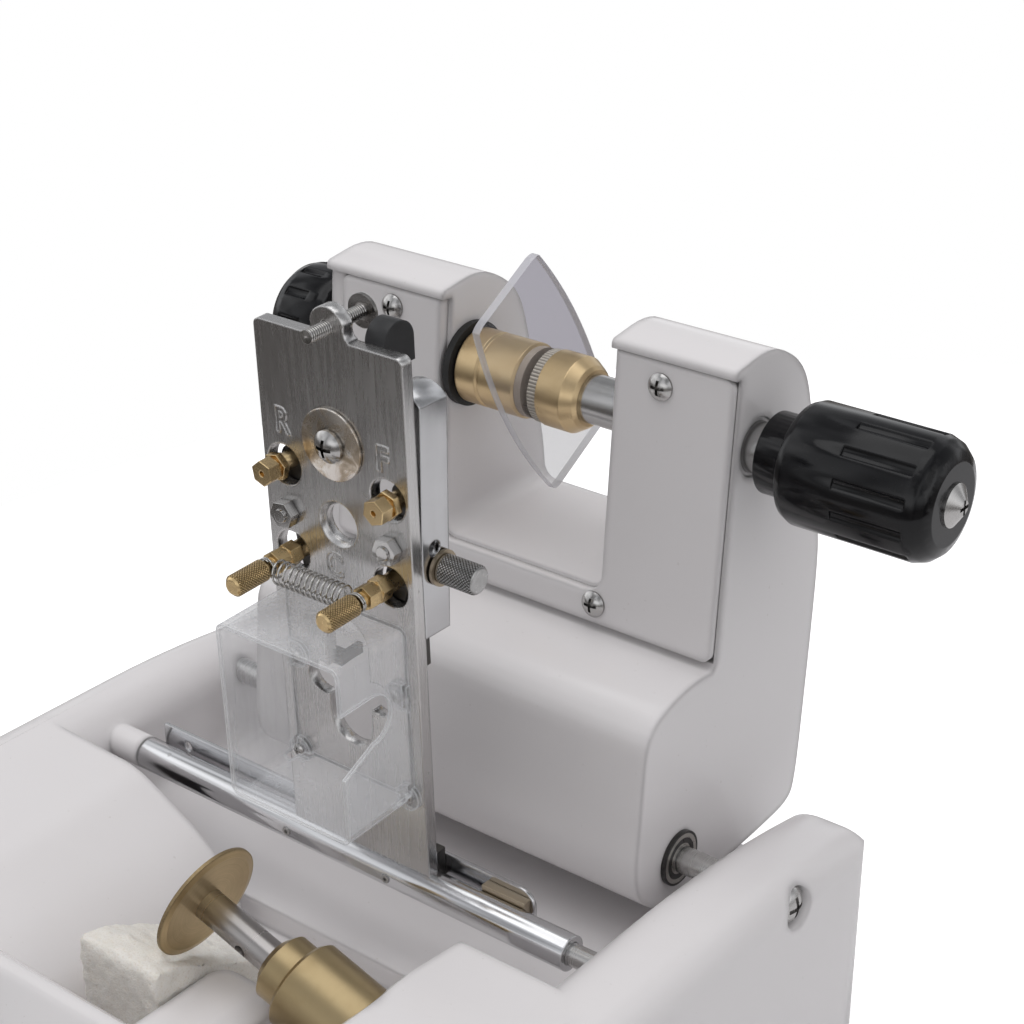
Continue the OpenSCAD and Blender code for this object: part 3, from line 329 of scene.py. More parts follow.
def turned_steel(name, base, lo, hi, axis=None, painted_shade=0.0):
    """Steel with fine lathe lines, round its own axis or else across x. Painted shade darkens its corners
    and seams, as much as its last argument asks.
    """
    t = material(name)
    if axis is None:
        where = t.mapped((1300, 25, 25))
    else:
        radius, height = t.cyl(axis)[1:]
        where = t.join(t.times(height, 500), t.times(radius, 400), 0.0)
    fine = t.noise(where, 1.0, 1)
    broad = t.noise(t.obj(), 90, 2)
    col = t.mix(t.span(broad, 0.3, 0.7, 0, 0.3), base, tuple(c * 0.75 for c in base))
    # Painted shade: darker where other faces lie close, in corners and seams.
    if painted_shade:
        col = t.mix(t.times(t.seam(0.0014, 0.3, 0.9), painted_shade), col, (0.05, 0.045, 0.04))
    rough = t.span(fine, 0.2, 0.8, lo, hi)
    normal = t.bump(fine, 0.02, 0.00002) if axis is None else None
    t.shader(col, rough, normal, Metallic=1.0)
    return t.owner


def threaded_steel():
    """Screw thread along the axis that runs front to back, on the shank only."""
    t = material("threaded_steel")
    pitch = 0.0006
    angle, radius, height = t.cyl(out_of_plate(EAR_SCREW_X, EAR_SCREW_U))
    turn = t.plus(t.times(height, 1 / pitch), t.times(angle, 1 / math.tau))
    ridge = t.math("PINGPONG", turn, 0.5)
    shank = t.span(radius, 0.0017, 0.0021, 1, 0)
    ridge = t.times(ridge, shank)
    broad = t.noise(t.obj(), 300, 4)
    crest = t.shade(broad, (0.50, 0.48, 0.46), (0.62, 0.61, 0.60))
    # The thread's roots are painted in the darker colour, as painted shade in its grooves; off the shank
    # the screw takes that colour too.
    col = t.mix(t.span(ridge, 0.05, 0.3), (0.26, 0.25, 0.24), crest)
    rough = t.span(broad, 0.3, 0.7, 0.2, 0.32)
    t.shader(col, rough, t.bump(ridge, 0.8, 0.0004, t.rounded(0.0002)), Metallic=1.0)
    return t.owner


def knurled(name, axis, start, end, inside, base, dark, count, pitch):
    """Metal with a diamond knurl between two distances along its axis, outside a radius. Its grooves are
    painted in the dark colour, as painted shade.
    """
    t = material(name)
    angle, radius, height = t.cyl(axis)
    a = t.times(angle, count / math.tau)
    b = t.times(height, 1 / pitch)
    one = t.math("PINGPONG", t.plus(a, b), 0.5)
    two = t.math("PINGPONG", t.math("SUBTRACT", a, b), 0.5)
    cut = t.math("MINIMUM", one, two)
    grip = t.times(t.math("GREATER_THAN", height, start), t.math("LESS_THAN", height, end))
    grip = t.times(grip, t.math("GREATER_THAN", radius, inside))
    cut = t.times(cut, grip)
    fine = t.noise(t.obj(), 900, 3)
    # Painted shade in the knurl's grooves, in the dark colour.
    groove_shade = t.times(t.span(cut, 0.06, 0.2, 1, 0), grip)
    col = t.mix(t.span(fine, 0.35, 0.7, 0, 0.5), base, tuple(c * 0.75 for c in base))
    col = t.mix(groove_shade, col, dark)
    rough = t.span(fine, 0.3, 0.7, 0.24, 0.36)
    t.shader(col, rough, t.bump(cut, 1.0, 0.0007, t.rounded(0.0002)), Metallic=1.0)
    return t.owner


def turned_brass(name, scale, base, lo, hi):
    """Brass with lathe lines and darker, browner patches."""
    t = material(name)
    fine = t.noise(t.mapped(scale), 1.0, 2, 0.5)
    broad = t.noise(t.obj(), 100, 5, 0.6)
    dark = tuple(c * k for c, k in zip(base, (0.70, 0.62, 0.50)))
    col = t.mix(t.span(broad, 0.48, 0.80, 0, 0.40), base, dark)
    rough = t.span(t.plus(t.times(fine, 0.4), t.times(broad, 0.6)), 0.3, 0.7, lo, hi)
    t.shader(col, rough, t.bump(fine, 0.05, 0.00003, t.rounded(0.0003)), Metallic=1.0)
    return t.owner


def stained_washer():
    """Thin, slightly dished steel washer with brown stains, fine concentric lines and painted shade in its
    seams.
    """
    t = material("stained_washer")
    radius = t.cyl(out_of_plate(0, WASHER_U))[1]
    rings = t.noise(t.join(t.times(radius, 2500), 0.0, 0.0), 1.0, 3)
    blot = t.noise(t.obj(), 230, 5, 0.65, 0.8)
    col = t.ramp(blot, [(0.34, (0.38, 0.31, 0.23)), (0.47, (0.60, 0.52, 0.43)), (0.60, (0.76, 0.72, 0.67))])
    rough = t.span(blot, 0.3, 0.65, 0.36, 0.20)
    # Painted shade: darker where other faces lie close.
    col = t.mix(t.times(t.seam(0.0009, 0.4, 0.9), 0.8), col, (0.06, 0.05, 0.04))
    dish = t.times(t.times(radius, radius), -1 / 0.009 ** 2)
    normal = t.bump(dish, 1.0, 0.0011, t.rounded(0.0003))
    t.shader(col, rough, t.bump(rings, 0.15, 0.00005, normal), Metallic=1.0)
    return t.owner


def black_gloss():
    """Polished black plastic with a little dust."""
    t = material("black_gloss_plastic")
    broad = t.noise(t.obj(), 120, 5, 0.6)
    dust = t.span(t.noise(t.obj(), 900, 3, 0.6), 0.62, 0.75, 0, 0.25)
    col = t.ramp(broad, [(0.3, (0.004, 0.004, 0.005)), (0.75, (0.008, 0.008, 0.009))])
    col = t.mix(dust, col, (0.03, 0.03, 0.031))
    rough = t.span(broad, 0.3, 0.7, 0.10, 0.18)
    normal = t.bump(broad, 0.05, 0.0002, t.rounded(0.0005))
    t.shader(col, rough, normal, IOR=1.5, Specular_IOR_Level=0.30)
    return t.owner


def black_satin():
    """Black plastic with a fine grain."""
    t = material("black_satin_plastic")
    fine = t.noise(t.obj(), 2200, 3)
    broad = t.noise(t.obj(), 120, 4)
    col = t.ramp(broad, [(0.3, (0.010, 0.010, 0.011)), (0.75, (0.022, 0.022, 0.024))])
    t.shader(col, t.span(broad, 0.3, 0.7, 0.38, 0.55), t.bump(fine, 0.25, 0.0001, t.rounded(0.0006)))
    return t.owner


def rubber():
    """Dull black rubber."""
    t = material("black_rubber")
    fine = t.noise(t.obj(), 1400, 4)
    col = t.shade(fine, (0.010, 0.010, 0.010), (0.022, 0.022, 0.022))
    t.shader(col, t.span(fine, 0.3, 0.7, 0.5, 0.7), t.bump(fine, 0.4, 0.0002))
    return t.owner


def clear_plastic():
    """Hazy moulded plastic, clear face on and milky at its edges and at a low angle."""
    t = material("clear_moulded_plastic")
    haze = t.noise(t.obj(), 70, 5, 0.6, 0.4)
    scratches = t.noise(t.mapped((500, 500, 60)), 1.0, 5)
    rough = t.span(haze, 0.35, 0.7, 0.10, 0.22)
    col = t.shade(haze, (0.84, 0.86, 0.89), (0.92, 0.935, 0.96))
    p = t.shader(col, rough, t.bump(scratches, 0.08, 0.0001), IOR=1.49)
    weight = t.add("ShaderNodeLayerWeight")
    weight.inputs["Blend"].default_value = 0.3
    alpha = t.span(weight.outputs["Facing"], 0.1, 0.95, 0.14, 0.62)
    alpha = t.plus(alpha, t.span(scratches, 0.5, 0.75, 0, 0.08))
    t.link(t.math("MAXIMUM", alpha, t.times(t.edges(0.0010), 0.9)), p.inputs["Alpha"])
    return t.owner


def clear_lens():
    """Clear resin, paler and denser on the lens's cut rim."""
    t = material("clear_lens_resin")
    broad = t.noise(t.obj(), 80, 3)
    g = t.add("ShaderNodeNewGeometry")
    side = t.add("ShaderNodeSeparateXYZ")
    t.link(g.outputs["Normal"], side.inputs[0])
    rim = t.span(t.math("ABSOLUTE", side.outputs[0]), 0.55, 0.85, 1, 0)
    col = t.mix(rim, (0.34, 0.335, 0.37), (0.66, 0.66, 0.70))
    p = t.shader(col, t.span(broad, 0.3, 0.7, 0.03, 0.07), IOR=1.56)
    t.link(t.span(rim, 0, 1, 0.10, 0.70), p.inputs["Alpha"])
    return t.owner


def foam():
    """Cream foam with two sizes of open pore."""
    t = material("cream_foam")
    large = t.voronoi(t.obj(), 1100)
    small = t.voronoi(t.mapped(loc=(1, 2, 3)), 2600)
    broad = t.noise(t.obj(), 140, 5, 0.6)
    pores = t.math("MINIMUM", large, small)
    skin = t.shade(broad, (0.83, 0.80, 0.74), (0.87, 0.85, 0.80))
    # The pores are painted darker, as painted shade inside them.
    col = t.mix(t.span(pores, 0.05, 0.4), (0.76, 0.71, 0.63), skin)
    t.shader(col, 0.9, t.bump(pores, 0.35, 0.0004, t.bump(broad, 0.4, 0.0010)), Subsurface_Weight=0.15,
             Subsurface_Radius=(0.0025, 0.002, 0.0015), Sheen_Weight=0.25)
    return t.owner


def plain_plastic(name, low, high, lo, hi):
    """Plain plastic or paint between two close colours, with a roughness between lo and hi."""
    t = material(name)
    broad = t.noise(t.obj(), 150, 4)
    fine = t.noise(t.obj(), 1600, 2)
    t.shader(t.shade(broad, low, high), t.span(broad, 0.3, 0.7, lo, hi), t.bump(fine, 0.1, 0.0001))
    return t.owner


def ribbed_nylon():
    """Pale ring with fine ribs along the lens spindle."""
    t = material("ribbed_nylon")
    ribs = 64
    angle = t.cyl(LENS_AXIS)[0]
    rib = t.math("PINGPONG", t.times(angle, ribs / math.tau), 0.5)
    broad = t.noise(t.obj(), 200, 4)
    pale = t.shade(broad, (0.50, 0.46, 0.40), (0.60, 0.56, 0.50))
    # The rib grooves are painted dark, as painted shade in them.
    col = t.mix(t.span(rib, 0.05, 0.22, 1, 0), pale, (0.24, 0.21, 0.18))
    t.shader(col, 0.45, t.bump(rib, 0.9, 0.0006))
    return t.owner


def wheel_bond():
    """Brass-coloured disc with concentric turning lines and a darker gritty rim."""
    t = material("wheel_brass_and_grit")
    radius = t.cyl(WHEEL_AXIS)[1]
    rings = t.noise(t.join(t.times(radius, 3000), 0.0, 0.0), 1.0, 4)
    grit = t.noise(t.obj(), 2500, 3)
    broad = t.noise(t.obj(), 110, 5, 0.6)
    rim = t.span(radius, 0.0128, 0.0134)
    col = t.mix(t.span(rings, 0.35, 0.65), (0.50, 0.38, 0.20), (0.63, 0.48, 0.27))
    col = t.mix(t.span(broad, 0.4, 0.7, 0, 0.5), col, (0.41, 0.30, 0.16))
    col = t.mix(rim, col, t.ramp(grit, [(0.35, (0.14, 0.10, 0.06)), (0.65, (0.30, 0.23, 0.13))]))
    rough = t.plus(t.span(rings, 0.3, 0.7, 0.28, 0.40), t.times(rim, 0.2))
    normal = t.bump(t.times(grit, rim), 0.5, 0.0002)
    t.shader(col, rough, t.bump(rings, 0.25, 0.00006, normal), Metallic=0.9)
    return t.owner


def bearing():
    """Ball bearing seen from its side: bright races, a dark seal between them, a dark bush round it."""
    t = material("bearing_rings")
    radius = t.cyl(PIVOT_AXIS)[1]
    broad = t.noise(t.obj(), 500, 3)
    outer = t.times(t.math("GREATER_THAN", radius, 0.0050), t.math("LESS_THAN", radius, 0.0060))
    inner = t.math("LESS_THAN", radius, 0.0037)
    bright = t.math("MAXIMUM", outer, inner)
    col = t.mix(bright, t.shade(broad, (0.012, 0.011, 0.010), (0.03, 0.028, 0.026)), (0.50, 0.48, 0.45))
    p = t.shader(col, t.span(broad, 0.3, 0.7, 0.25, 0.4), t.bump(bright, 0.6, 0.0002))
    t.link(bright, p.inputs["Metallic"])
    return t.owner


def knurled_pin(name, x):
    """Brass of a thumb pin, knurled on its grip."""
    # The dark colour here is painted shade in the knurl's grooves.
    return knurled(name, out_of_plate(x, PIN_U), start=12.5 * MM, end=20.9 * MM, inside=2.1 * MM,
                   base=(0.74, 0.55, 0.29), dark=(0.24, 0.15, 0.06), count=22, pitch=0.00072)


WHITE = white_enamel()
CHROME = polished_chrome("polished_chrome", (1500, 1500, 22), (0.62, 0.61, 0.605), 0.18, 0.34, 0.4)
TUBE_CHROME = polished_chrome("tube_chrome", (22, 1500, 1500), (0.66, 0.66, 0.67), 0.08, 0.18, 0.3)
BAR_CHROME = polished_chrome("bar_chrome", (500, 500, 30), (0.60, 0.60, 0.61), 0.14, 0.26, 0.5)
STEEL = turned_steel("turned_steel", (0.52, 0.51, 0.50), 0.25, 0.29)
WHEEL_STEEL = turned_steel("wheel_spindle_steel", (0.42, 0.40, 0.39), 0.27, 0.29, WHEEL_AXIS)
SPINDLE_STEEL = turned_steel("lens_spindle_steel", (0.48, 0.475, 0.47), 0.22, 0.26, LENS_AXIS)
# These three steels carry painted shade in their corners and seams.
BRIGHT = turned_steel("bright_steel", (0.50, 0.49, 0.48), 0.19, 0.24, painted_shade=0.8)
NUT_STEEL = turned_steel("plated_nut_steel", (0.56, 0.55, 0.54), 0.08, 0.12, painted_shade=0.85)
COIL_STEEL = turned_steel("coil_steel", (0.56, 0.55, 0.53), 0.10, 0.14, painted_shade=0.9)
THREAD = threaded_steel()
WASHER = stained_washer()
BRASS = turned_brass("chuck_brass", (3200, 90, 90), (0.66, 0.50, 0.29), 0.26, 0.38)
SLEEVE_BRASS = turned_brass("sleeve_brass", (3200, 90, 1200), (0.40, 0.31, 0.175), 0.30, 0.42)
FITTING_BRASS = turned_brass("fitting_brass", (60, 500, 60), (0.74, 0.56, 0.31), 0.18, 0.30)
# The dark colour here is painted shade in the knurl's grooves.
KNURLED_KNOB = knurled("knurled_steel", KNOB_AXIS, start=21.7 * MM, end=30.3 * MM, inside=2.9 * MM,
                       base=(0.46, 0.455, 0.45), dark=(0.05, 0.047, 0.045), count=26, pitch=0.00080)
LEFT_PIN = knurled_pin("knurled_brass_left", -PIN_X)
RIGHT_PIN = knurled_pin("knurled_brass_right", PIN_X)
DARK_STEEL = turned_steel("dark_steel", (0.10, 0.095, 0.09), 0.34, 0.40)
BLACK = black_gloss()
SATIN = black_satin()
RUBBER = rubber()
CLEAR = clear_plastic()
LENS = clear_lens()
FOAM = foam()
NYLON = plain_plastic("brown_nylon", (0.36, 0.30, 0.25), (0.44, 0.38, 0.32), 0.35, 0.5)
RIBBED = ribbed_nylon()
RED = plain_plastic("red_key_plastic", (0.45, 0.02, 0.015), (0.55, 0.03, 0.02), 0.2, 0.3)
GREEN = plain_plastic("green_key_plastic", (0.02, 0.22, 0.06), (0.03, 0.3, 0.08), 0.2, 0.3)
TAN = turned_steel("tan_metal", (0.42, 0.35, 0.26), 0.35, 0.41)
GREY = plain_plastic("grey_paint", (0.10, 0.10, 0.105), (0.14, 0.14, 0.145), 0.45, 0.6)
WHEEL_BOND = wheel_bond()
BEARING = bearing()

LOOK = {
    "base_housing": WHITE, "head_housing": WHITE, "head_cover": WHITE, "right_bush": WHITE,
    "bottom_plate": GREY, "rubber_feet": RUBBER, "spindle_seal": RUBBER,
    "deck_screws": STEEL, "side_screws": STEEL, "tube_screws": STEEL, "splash_box_screws": STEEL,
    "left_knob_screw": STEEL, "right_knob_screw": STEEL, "wheel_motor": STEEL,
    "guide_pin": STEEL, "pivot_shaft": STEEL,
    "washer_screw": BRIGHT, "cover_screws": BRIGHT, "arm_spring": BRIGHT,
    "power_inlet": SATIN, "switch_frames": SATIN, "depth_dial": SATIN, "stop_pad": SATIN,
    "wheel_rocker": RED, "spindle_rocker": GREEN, "sponge": FOAM,
    "bearing_sleeve": SLEEVE_BRASS, "wheel_spindle": WHEEL_STEEL, "grinding_wheel": WHEEL_BOND,
    "guide_plate": CHROME, "guide_tube": TUBE_CHROME, "leaf_strip": TUBE_CHROME, "guide_bar": BAR_CHROME,
    "strip_clamp": DARK_STEEL, "arm_left": DARK_STEEL, "arm_right": DARK_STEEL,
    "strip_bumper": TAN, "knob_washer": TAN, "adjusting_knob": KNURLED_KNOB,
    "ear_screw": THREAD, "big_washer": WASHER, "arm_pivot_screws": NUT_STEEL,
    "fitting_left": FITTING_BRASS, "fitting_right": FITTING_BRASS,
    "thumb_pin_left": LEFT_PIN, "thumb_pin_right": RIGHT_PIN, "splash_box": CLEAR,
    "pivot_bushes": BEARING, "left_spindle": SPINDLE_STEEL, "right_spindle": SPINDLE_STEEL,
    "left_chuck": BRASS, "right_chuck": BRASS, "lens_pads": NYLON, "lens": LENS, "clamp_ring": RIBBED,
    "left_knob": BLACK, "right_knob": BLACK,
}

# Width of a node's rounded edges, in mm. A node that isn't named stays as it is.
EDGES = {
    "base_housing": 1.2, "head_housing": 1.6, "head_cover": 0.5, "stop_pad": 0.6,
    "guide_plate": 0.25, "guide_bar": 0.4, "guide_tube": 0.25, "adjusting_knob": 0.2,
    "leaf_strip": 0.15, "strip_clamp": 0.3, "strip_bumper": 0.3, "big_washer": 0.12,
    "left_knob": 0.35, "right_knob": 0.35, "depth_dial": 0.3, "splash_box": 0.15, "lens": 0.2,
    "switch_frames": 0.4, "wheel_rocker": 0.3, "spindle_rocker": 0.3,
    "arm_left": 0.15, "arm_right": 0.15, "arm_pivot_screws": 0.12,
    "fitting_left": 0.12, "fitting_right": 0.12, "thumb_pin_left": 0.12, "thumb_pin_right": 0.12,
}
FLAT_ANGLE = math.radians(0.5)     # faces within this angle become one
EDGE_ANGLE = math.radians(30)      # edges sharper than this are rounded


def dress(name, width):
    """Gives a CAD node its material and its rounded edges."""
    o = nodes[name]
    o.data.materials.clear()
    o.data.materials.append(LOOK[name])
    if not width:
        return
    weld = o.modifiers.new("weld", "WELD")
    weld.merge_threshold = 1e-6
    flat = o.modifiers.new("flat", "DECIMATE")
    flat.decimate_type = "DISSOLVE"
    flat.angle_limit = FLAT_ANGLE
    edges = o.modifiers.new("edges", "BEVEL")
    edges.width = width * MM
    edges.segments = 2
    edges.limit_method = "ANGLE"
    edges.angle_limit = EDGE_ANGLE
    edges.harden_normals = True
    edges.use_clamp_overlap = True


for name in nodes:
    dress(name, EDGES.get(name, 0))


# Own pieces
def shown(name, data):
    """A new object in the scene for this mesh, curve or lamp."""
    o = bpy.data.objects.new(name, data)
    bpy.context.scene.collection.objects.link(o)
    return o


def mesh_object(name, bm, look):
    """A smooth-shaded object from a built mesh, in one material."""
    mesh = bpy.data.meshes.new(name)
    bm.to_mesh(mesh)
    bm.free()
    mesh.materials.append(look)
    for face in mesh.polygons:
        face.use_smooth = True
    return shown(name, mesh)


def applied(o):
    """The object's mesh with its modifiers applied, as a fresh object of the same name."""
    depsgraph = bpy.context.evaluated_depsgraph_get()
    mesh = bpy.data.meshes.new_from_object(o.evaluated_get(depsgraph))
    name, looks = o.name, list(o.data.materials)
    bpy.data.objects.remove(o)
    mesh.materials.clear()
    for look in looks:
        mesh.materials.append(look)
    return shown(name, mesh)


def combine(o, other, how):
    """Joins the other solid to the object, or cuts it out of it."""
    k = o.modifiers.new(how.lower(), "BOOLEAN")
    k.operation = how
    k.object = other
    k.solver = "EXACT"


def letters():
    """Raised outlines of the rear, front and centre marks on the guide plate."""
    height, stroke, spread = 7.9, 0.26, 0.22
    marks = (("R", -13.9, 104.8, 0.84), ("F", 13.3, 103.6, 0.98), ("C", -1.8, 74.7, 0.84))
    bm = bmesh.new()
    for letter, x, u, narrow in marks:
        c = bpy.data.curves.new("mark", "FONT")
        c.body = letter
        c.size = height * MM
        c.align_x = c.align_y = "CENTER"
        c.fill_mode = "NONE"
        c.bevel_depth = stroke * MM
        c.offset = spread * MM
        c.bevel_resolution = 2
        o = shown("mark", c)
        mesh = bpy.data.meshes.new_from_object(o.evaluated_get(bpy.context.evaluated_depsgraph_get()))
        mesh.transform(out_of_plate(x, u, PLATE_FRONT) @ Matrix.Diagonal((narrow, 1, 1, 1)))
        bm.from_mesh(mesh)
        bpy.data.objects.remove(o)
        bpy.data.curves.remove(c)
    bmesh.ops.recalc_face_normals(bm, faces=bm.faces)
    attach(mesh_object("guide_marks", bm, CHROME), "guide")


def sponge_block(lo, hi):
    """Plain block of foam with its side profile. It stays under the splash box when the plate is down."""
    front, top = lo.y, hi.z
    profile = [(front, lo.z), (front, top + 2.0), (front + 1.5, top + 3.8), (front + 5, top + 3.4),
               (front + 8, top + 2.4), (front + 16, top - 2.0), (front + 22, top - 5.3),
               (front + 30, top - 9.7), (hi.y, top - 13), (hi.y, lo.z)]
    bm = bmesh.new()
    left, right = ([bm.verts.new((x * MM, y * MM, z * MM)) for y, z in profile] for x in (lo.x, hi.x))
    bm.faces.new(left)
    bm.faces.new(right[::-1])
    for i in range(len(profile)):
        j = (i + 1) % len(profile)
        bm.faces.new((left[j], left[i], right[i], right[j]))
    bmesh.ops.recalc_face_normals(bm, faces=bm.faces)
    return mesh_object("sponge_foam", bm, FOAM)


def sponge():
    """Torn-edged block of open foam under the wheel, with the slot that the wheel has cut."""
    lo, hi = (Vector(corner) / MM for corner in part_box("sponge"))
    o = sponge_block(lo, hi)
    cut = bmesh.new()
    bmesh.ops.create_cone(cut, cap_ends=True, segments=64, radius1=SLOT_R * MM, radius2=SLOT_R * MM,
                          depth=SLOT_W * MM, matrix=WHEEL_AXIS)
    disc = mesh_object("slot_cutter", cut, FOAM)
    combine(o, disc, "DIFFERENCE")
    o = applied(o)
    bpy.data.objects.remove(disc)
    remesh = o.modifiers.new("remesh", "REMESH")
    remesh.mode = "VOXEL"
    remesh.voxel_size = FOAM_GRAIN * MM
    soften = o.modifiers.new("soften", "SMOOTH")
    soften.factor = 0.5
    soften.iterations = 14
    o = applied(o)
    lumps, pits, sunk = 0.50, 0.25, 0.35     # how far the torn surface swells and sinks, in mm
    for v in o.data.vertices:
        p = v.co / MM
        v.co += v.normal * MM * (lumps * noise.noise(p * 0.30) + pits * noise.noise(p * 1.2) - sunk)
    for face in o.data.polygons:
        face.use_smooth = True
    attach(o, "base")
    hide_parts("sponge")


def wire_tree(look):
    """Geometry nodes: a round wire along the edges of a path."""
    g = bpy.data.node_groups.new("wire_along_path", "GeometryNodeTree")
    g.interface.new_socket("Path", in_out="INPUT", socket_type="NodeSocketGeometry")
    g.interface.new_socket("Wire radius", in_out="INPUT", socket_type="NodeSocketFloat")
    g.interface.new_socket("Wire", in_out="OUTPUT", socket_type="NodeSocketGeometry")
    source = g.nodes.new("NodeGroupInput")
    end = source.outputs["Path"]
    steps = {}
    for kind in ("MeshToCurve", "CurveToMesh", "SetShadeSmooth", "RealizeInstances", "SetMaterial"):
        step = g.nodes.new("GeometryNode" + kind)
        g.links.new(end, step.inputs[0])
        end = step.outputs[0]
        steps[kind] = step
    g.links.new(end, g.nodes.new("NodeGroupOutput").inputs[0])
    ring = g.nodes.new("GeometryNodeCurvePrimitiveCircle")
    ring.inputs["Resolution"].default_value = WIRE_SIDES
    g.links.new(source.outputs["Wire radius"], ring.inputs["Radius"])
    g.links.new(ring.outputs[0], steps["CurveToMesh"].inputs["Profile Curve"])
    steps["CurveToMesh"].inputs["Fill Caps"].default_value = True
    steps["SetMaterial"].inputs["Material"].default_value = look
    return g


def coil_halves():
    """Points of the arm spring in the plate's mm: its left half and its right half."""
    steps = 20                      # points for one turn
    rise = 0.55                     # how far the loop round the pin's neck climbs in one turn
    loop = []
    for k in range(2 * steps):
        a = math.radians(60) + math.tau * k / steps
        y = COIL_Y - rise + rise * k / steps
        loop.append((-PIN_X + LOOP_R * math.cos(a), y, PIN_U + LOOP_R * math.sin(a)))
    reach = PIN_X - LOOP_R
    count = COIL_TURNS * steps
    taper = 0.8 * steps             # points over which the coil grows to its full radius
    coil = []
    for i in range(count + 1):
        r = COIL_R * min(1, i / taper, (count - i) / taper)
        a = math.tau * i / steps
        coil.append((-reach + 2 * reach * i / count, COIL_Y - r * math.sin(a), PIN_U + r * math.cos(a)))
    far = [(-x, y, z) for x, y, z in loop[::-1]]
    return loop + coil[:count // 2 + 1], coil[count // 2:] + far


def arm_coil():
    """Spring between the thumb pins, in two halves named for the two arms, which meet at the middle."""
    tree = wire_tree(COIL_STEEL)
    ids = {i.name: i.identifier for i in tree.interface.items_tree if i.in_out == "INPUT"}
    left, right = coil_halves()
    for side, arm, points in ((-1, "left_arm", left), (1, "right_arm", right)):
        mesh = bpy.data.meshes.new("coil_path")
        places = [PLATE @ (Vector(p) * MM) for p in points]
        mesh.from_pydata(places, [(i, i + 1) for i in range(len(points) - 1)], [])
        o = shown("arm_coil_" + arm, mesh)
        wire = o.modifiers.new("wire", "NODES")
        wire.node_group = tree
        wire[ids["Wire radius"]] = WIRE_R * MM
        o.data.materials.append(COIL_STEEL)
        o = applied(o)
        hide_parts("arm_spring")
        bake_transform(o)


def turned(axis, radius, start, end):
    """A closed steel cylinder from start to end along the z of these axes."""
    bm = bmesh.new()
    middle = axis @ Matrix.Translation((0, 0, (start + end) / 2 * MM))
    bmesh.ops.create_cone(bm, cap_ends=True, segments=ROUND, radius1=radius * MM, radius2=radius * MM,
                          depth=(end - start) * MM, matrix=middle)
    return mesh_object("turned_part", bm, WHEEL_STEEL)


def drilled_spindle():
    """Wheel spindle with its cross hole and the thinner stub that carries the wheel."""
    body = turned(WHEEL_AXIS, SPINDLE_R, WHEEL_T / 2, SPINDLE_END)
    stub = turned(WHEEL_AXIS, STUB_R, STUB_START, WHEEL_T)
    across = WHEEL_AXIS @ Matrix.Translation((0, 0, CROSS_AT * MM))
    across = across @ Matrix.Rotation(CROSS_TURN, 4, "Z") @ Matrix.Rotation(math.radians(90), 4, "X")
    hole = turned(across, CROSS_R, -CROSS_REACH, CROSS_REACH)
    combine(body, stub, "UNION")
    combine(body, hole, "DIFFERENCE")
    rounding, sharp = 0.12, math.radians(35)
    edges = body.modifiers.new("edges", "BEVEL")
    edges.width = rounding * MM
    edges.segments = 2
    edges.limit_method = "ANGLE"
    edges.angle_limit = sharp
    o = applied(body)
    for tool in (stub, hole):
        bpy.data.objects.remove(tool)
    o.name = "drilled_wheel_spindle"
    o.data.set_sharp_from_angle(angle=sharp)
    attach(o, "wheel")
    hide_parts("wheel_spindle")


letters()
sponge()
arm_coil()
drilled_spindle()


# Floor, room, lamps and camera
def floor():
    """A pale round floor that shows white to the camera and keeps the object's shadow."""
    t = material("floor_paper")
    ray = t.add("ShaderNodeLightPath").outputs
    paper = t.add("ShaderNodeBsdfDiffuse")
    grain = t.noise(t.obj(), 300, 3)
    t.link(t.shade(grain, (0.86, 0.86, 0.87), (0.9, 0.9, 0.905)), paper.inputs["Color"])
    glow = t.add("ShaderNodeEmission")
    direct = t.span(ray["Transparent Depth"], 0.2, 0.8, 1.0, 0.0)
    t.link(t.times(t.times(ray["Is Camera Ray"], direct), 0.5), glow.inputs["Strength"])
    both = t.add("ShaderNodeAddShader")
    t.link(paper.outputs["BSDF"], both.inputs[0])
    t.link(glow.outputs["Emission"], both.inputs[1])
    t.link(both.outputs[0], t.out.inputs["Surface"])
    turns = [i * math.tau / ROUND for i in range(ROUND)]
    rim = [(FLOOR_MID + FLOOR_R * math.cos(a), FLOOR_MID + FLOOR_R * math.sin(a), 0) for a in turns]
    mesh = bpy.data.meshes.new("floor")
    mesh.from_pydata(rim, [], [tuple(range(ROUND))])
    mesh.materials.append(t.owner)
    shown("floor", mesh)


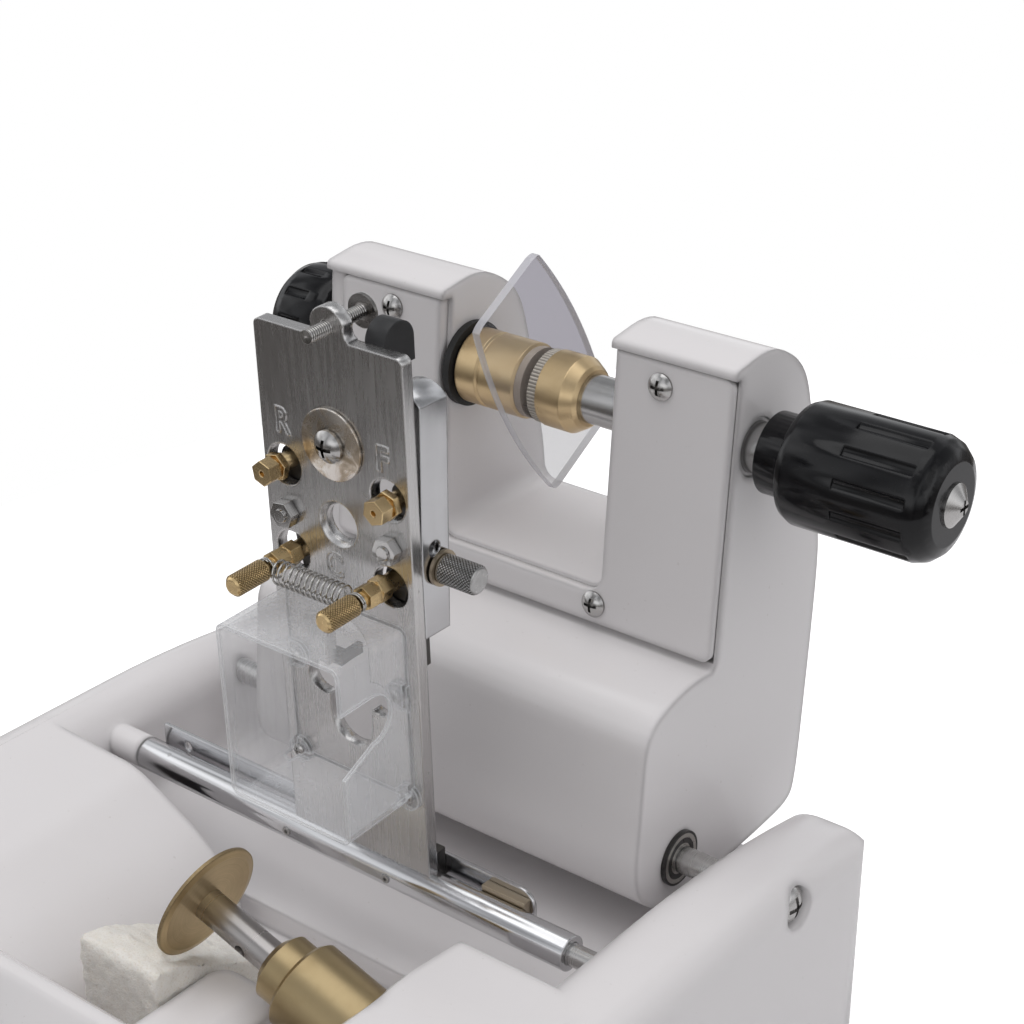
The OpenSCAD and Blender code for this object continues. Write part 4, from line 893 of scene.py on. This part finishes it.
def room():
    """White behind the object, and grey there where it is seen through clear plastic.

    What metal reflects is pale above the floor's level and dim below it.
    """
    t = Tree(bpy.data.worlds.new("studio"), "ShaderNodeOutputWorld")
    bpy.context.scene.world = t.owner
    ray = t.add("ShaderNodeLightPath").outputs
    direction = t.coord.outputs["Generated"]
    split = t.add("ShaderNodeSeparateXYZ")
    t.link(direction, split.inputs[0])
    height = split.outputs[2]
    soft = t.background((0.93, 0.92, 0.93), t.span(height, 0, 1, 0.18, 0.95))
    wall = t.ramp(t.span(height, -1, 1), [(0.44, (0.17, 0.16, 0.153)), (0.56, (0.84, 0.85, 0.87)),
                                          (0.92, (0.45, 0.46, 0.48))])
    cards = t.span(t.noise(direction, 2.6, 0.5, 0.5), 0.40, 0.58, 0.52, 1.30)
    reflected = t.background(wall, cards)
    through = t.span(ray["Transparent Depth"], 0.2, 0.8)
    seen = t.background(t.mix(through, (1, 1, 1), (0.42, 0.405, 0.45)), 1.0)
    lit = t.either(ray["Is Glossy Ray"], soft, reflected)
    direct = t.math("MAXIMUM", ray["Is Camera Ray"], ray["Is Transmission Ray"])
    t.link(t.either(direct, lit, seen), t.out.inputs["Surface"])


def lamp(name, place, target, size, power):
    """A rectangular lamp at a place, turned to its target, all in metres."""
    light = bpy.data.lights.new(name, "AREA")
    light.shape = "RECTANGLE"
    light.size, light.size_y = size
    light.energy = power
    o = shown(name, light)
    o.location = place
    o.rotation_euler = (Vector(target) - Vector(place)).to_track_quat("-Z", "Y").to_euler()


def camera():
    """The camera of the photograph, which looks down at the front right of the machine."""
    c = bpy.data.cameras.new("camera")
    c.sensor_width = SENSOR
    c.sensor_fit = "HORIZONTAL"
    c.lens = FOCAL_PX / PHOTO_PX * SENSOR
    c.clip_start = 0.01
    back = Vector((math.sin(AZIMUTH) * math.cos(ELEVATION), -math.cos(AZIMUTH) * math.cos(ELEVATION),
                   math.sin(ELEVATION)))
    right = Vector((math.cos(AZIMUTH), math.sin(AZIMUTH), 0))
    up = back.cross(right)
    place = Matrix((right, up, back)).transposed().to_4x4()
    place.translation = CAMERA
    o = bpy.data.objects.new("camera", c)
    o.matrix_world = place
    bpy.context.scene.collection.objects.link(o)
    bpy.context.scene.camera = o


floor()
room()
lamp("key_top", (-0.05, 0.0, 1.0), (0, 0, 0.08), (0.9, 0.7), 2.4)
lamp("left_soft", (-0.9, -0.25, 0.55), (0, 0, 0.1), (0.6, 0.9), 0.7)
lamp("right_fill", (0.95, 0.05, 0.45), (0.05, 0, 0.1), (0.5, 0.8), 0.55)
lamp("front_fill", (0.15, -0.95, 0.35), (0, 0, 0.08), (0.8, 0.4), 0.25)
camera()
bpy.context.scene.view_settings.view_transform = "Standard"
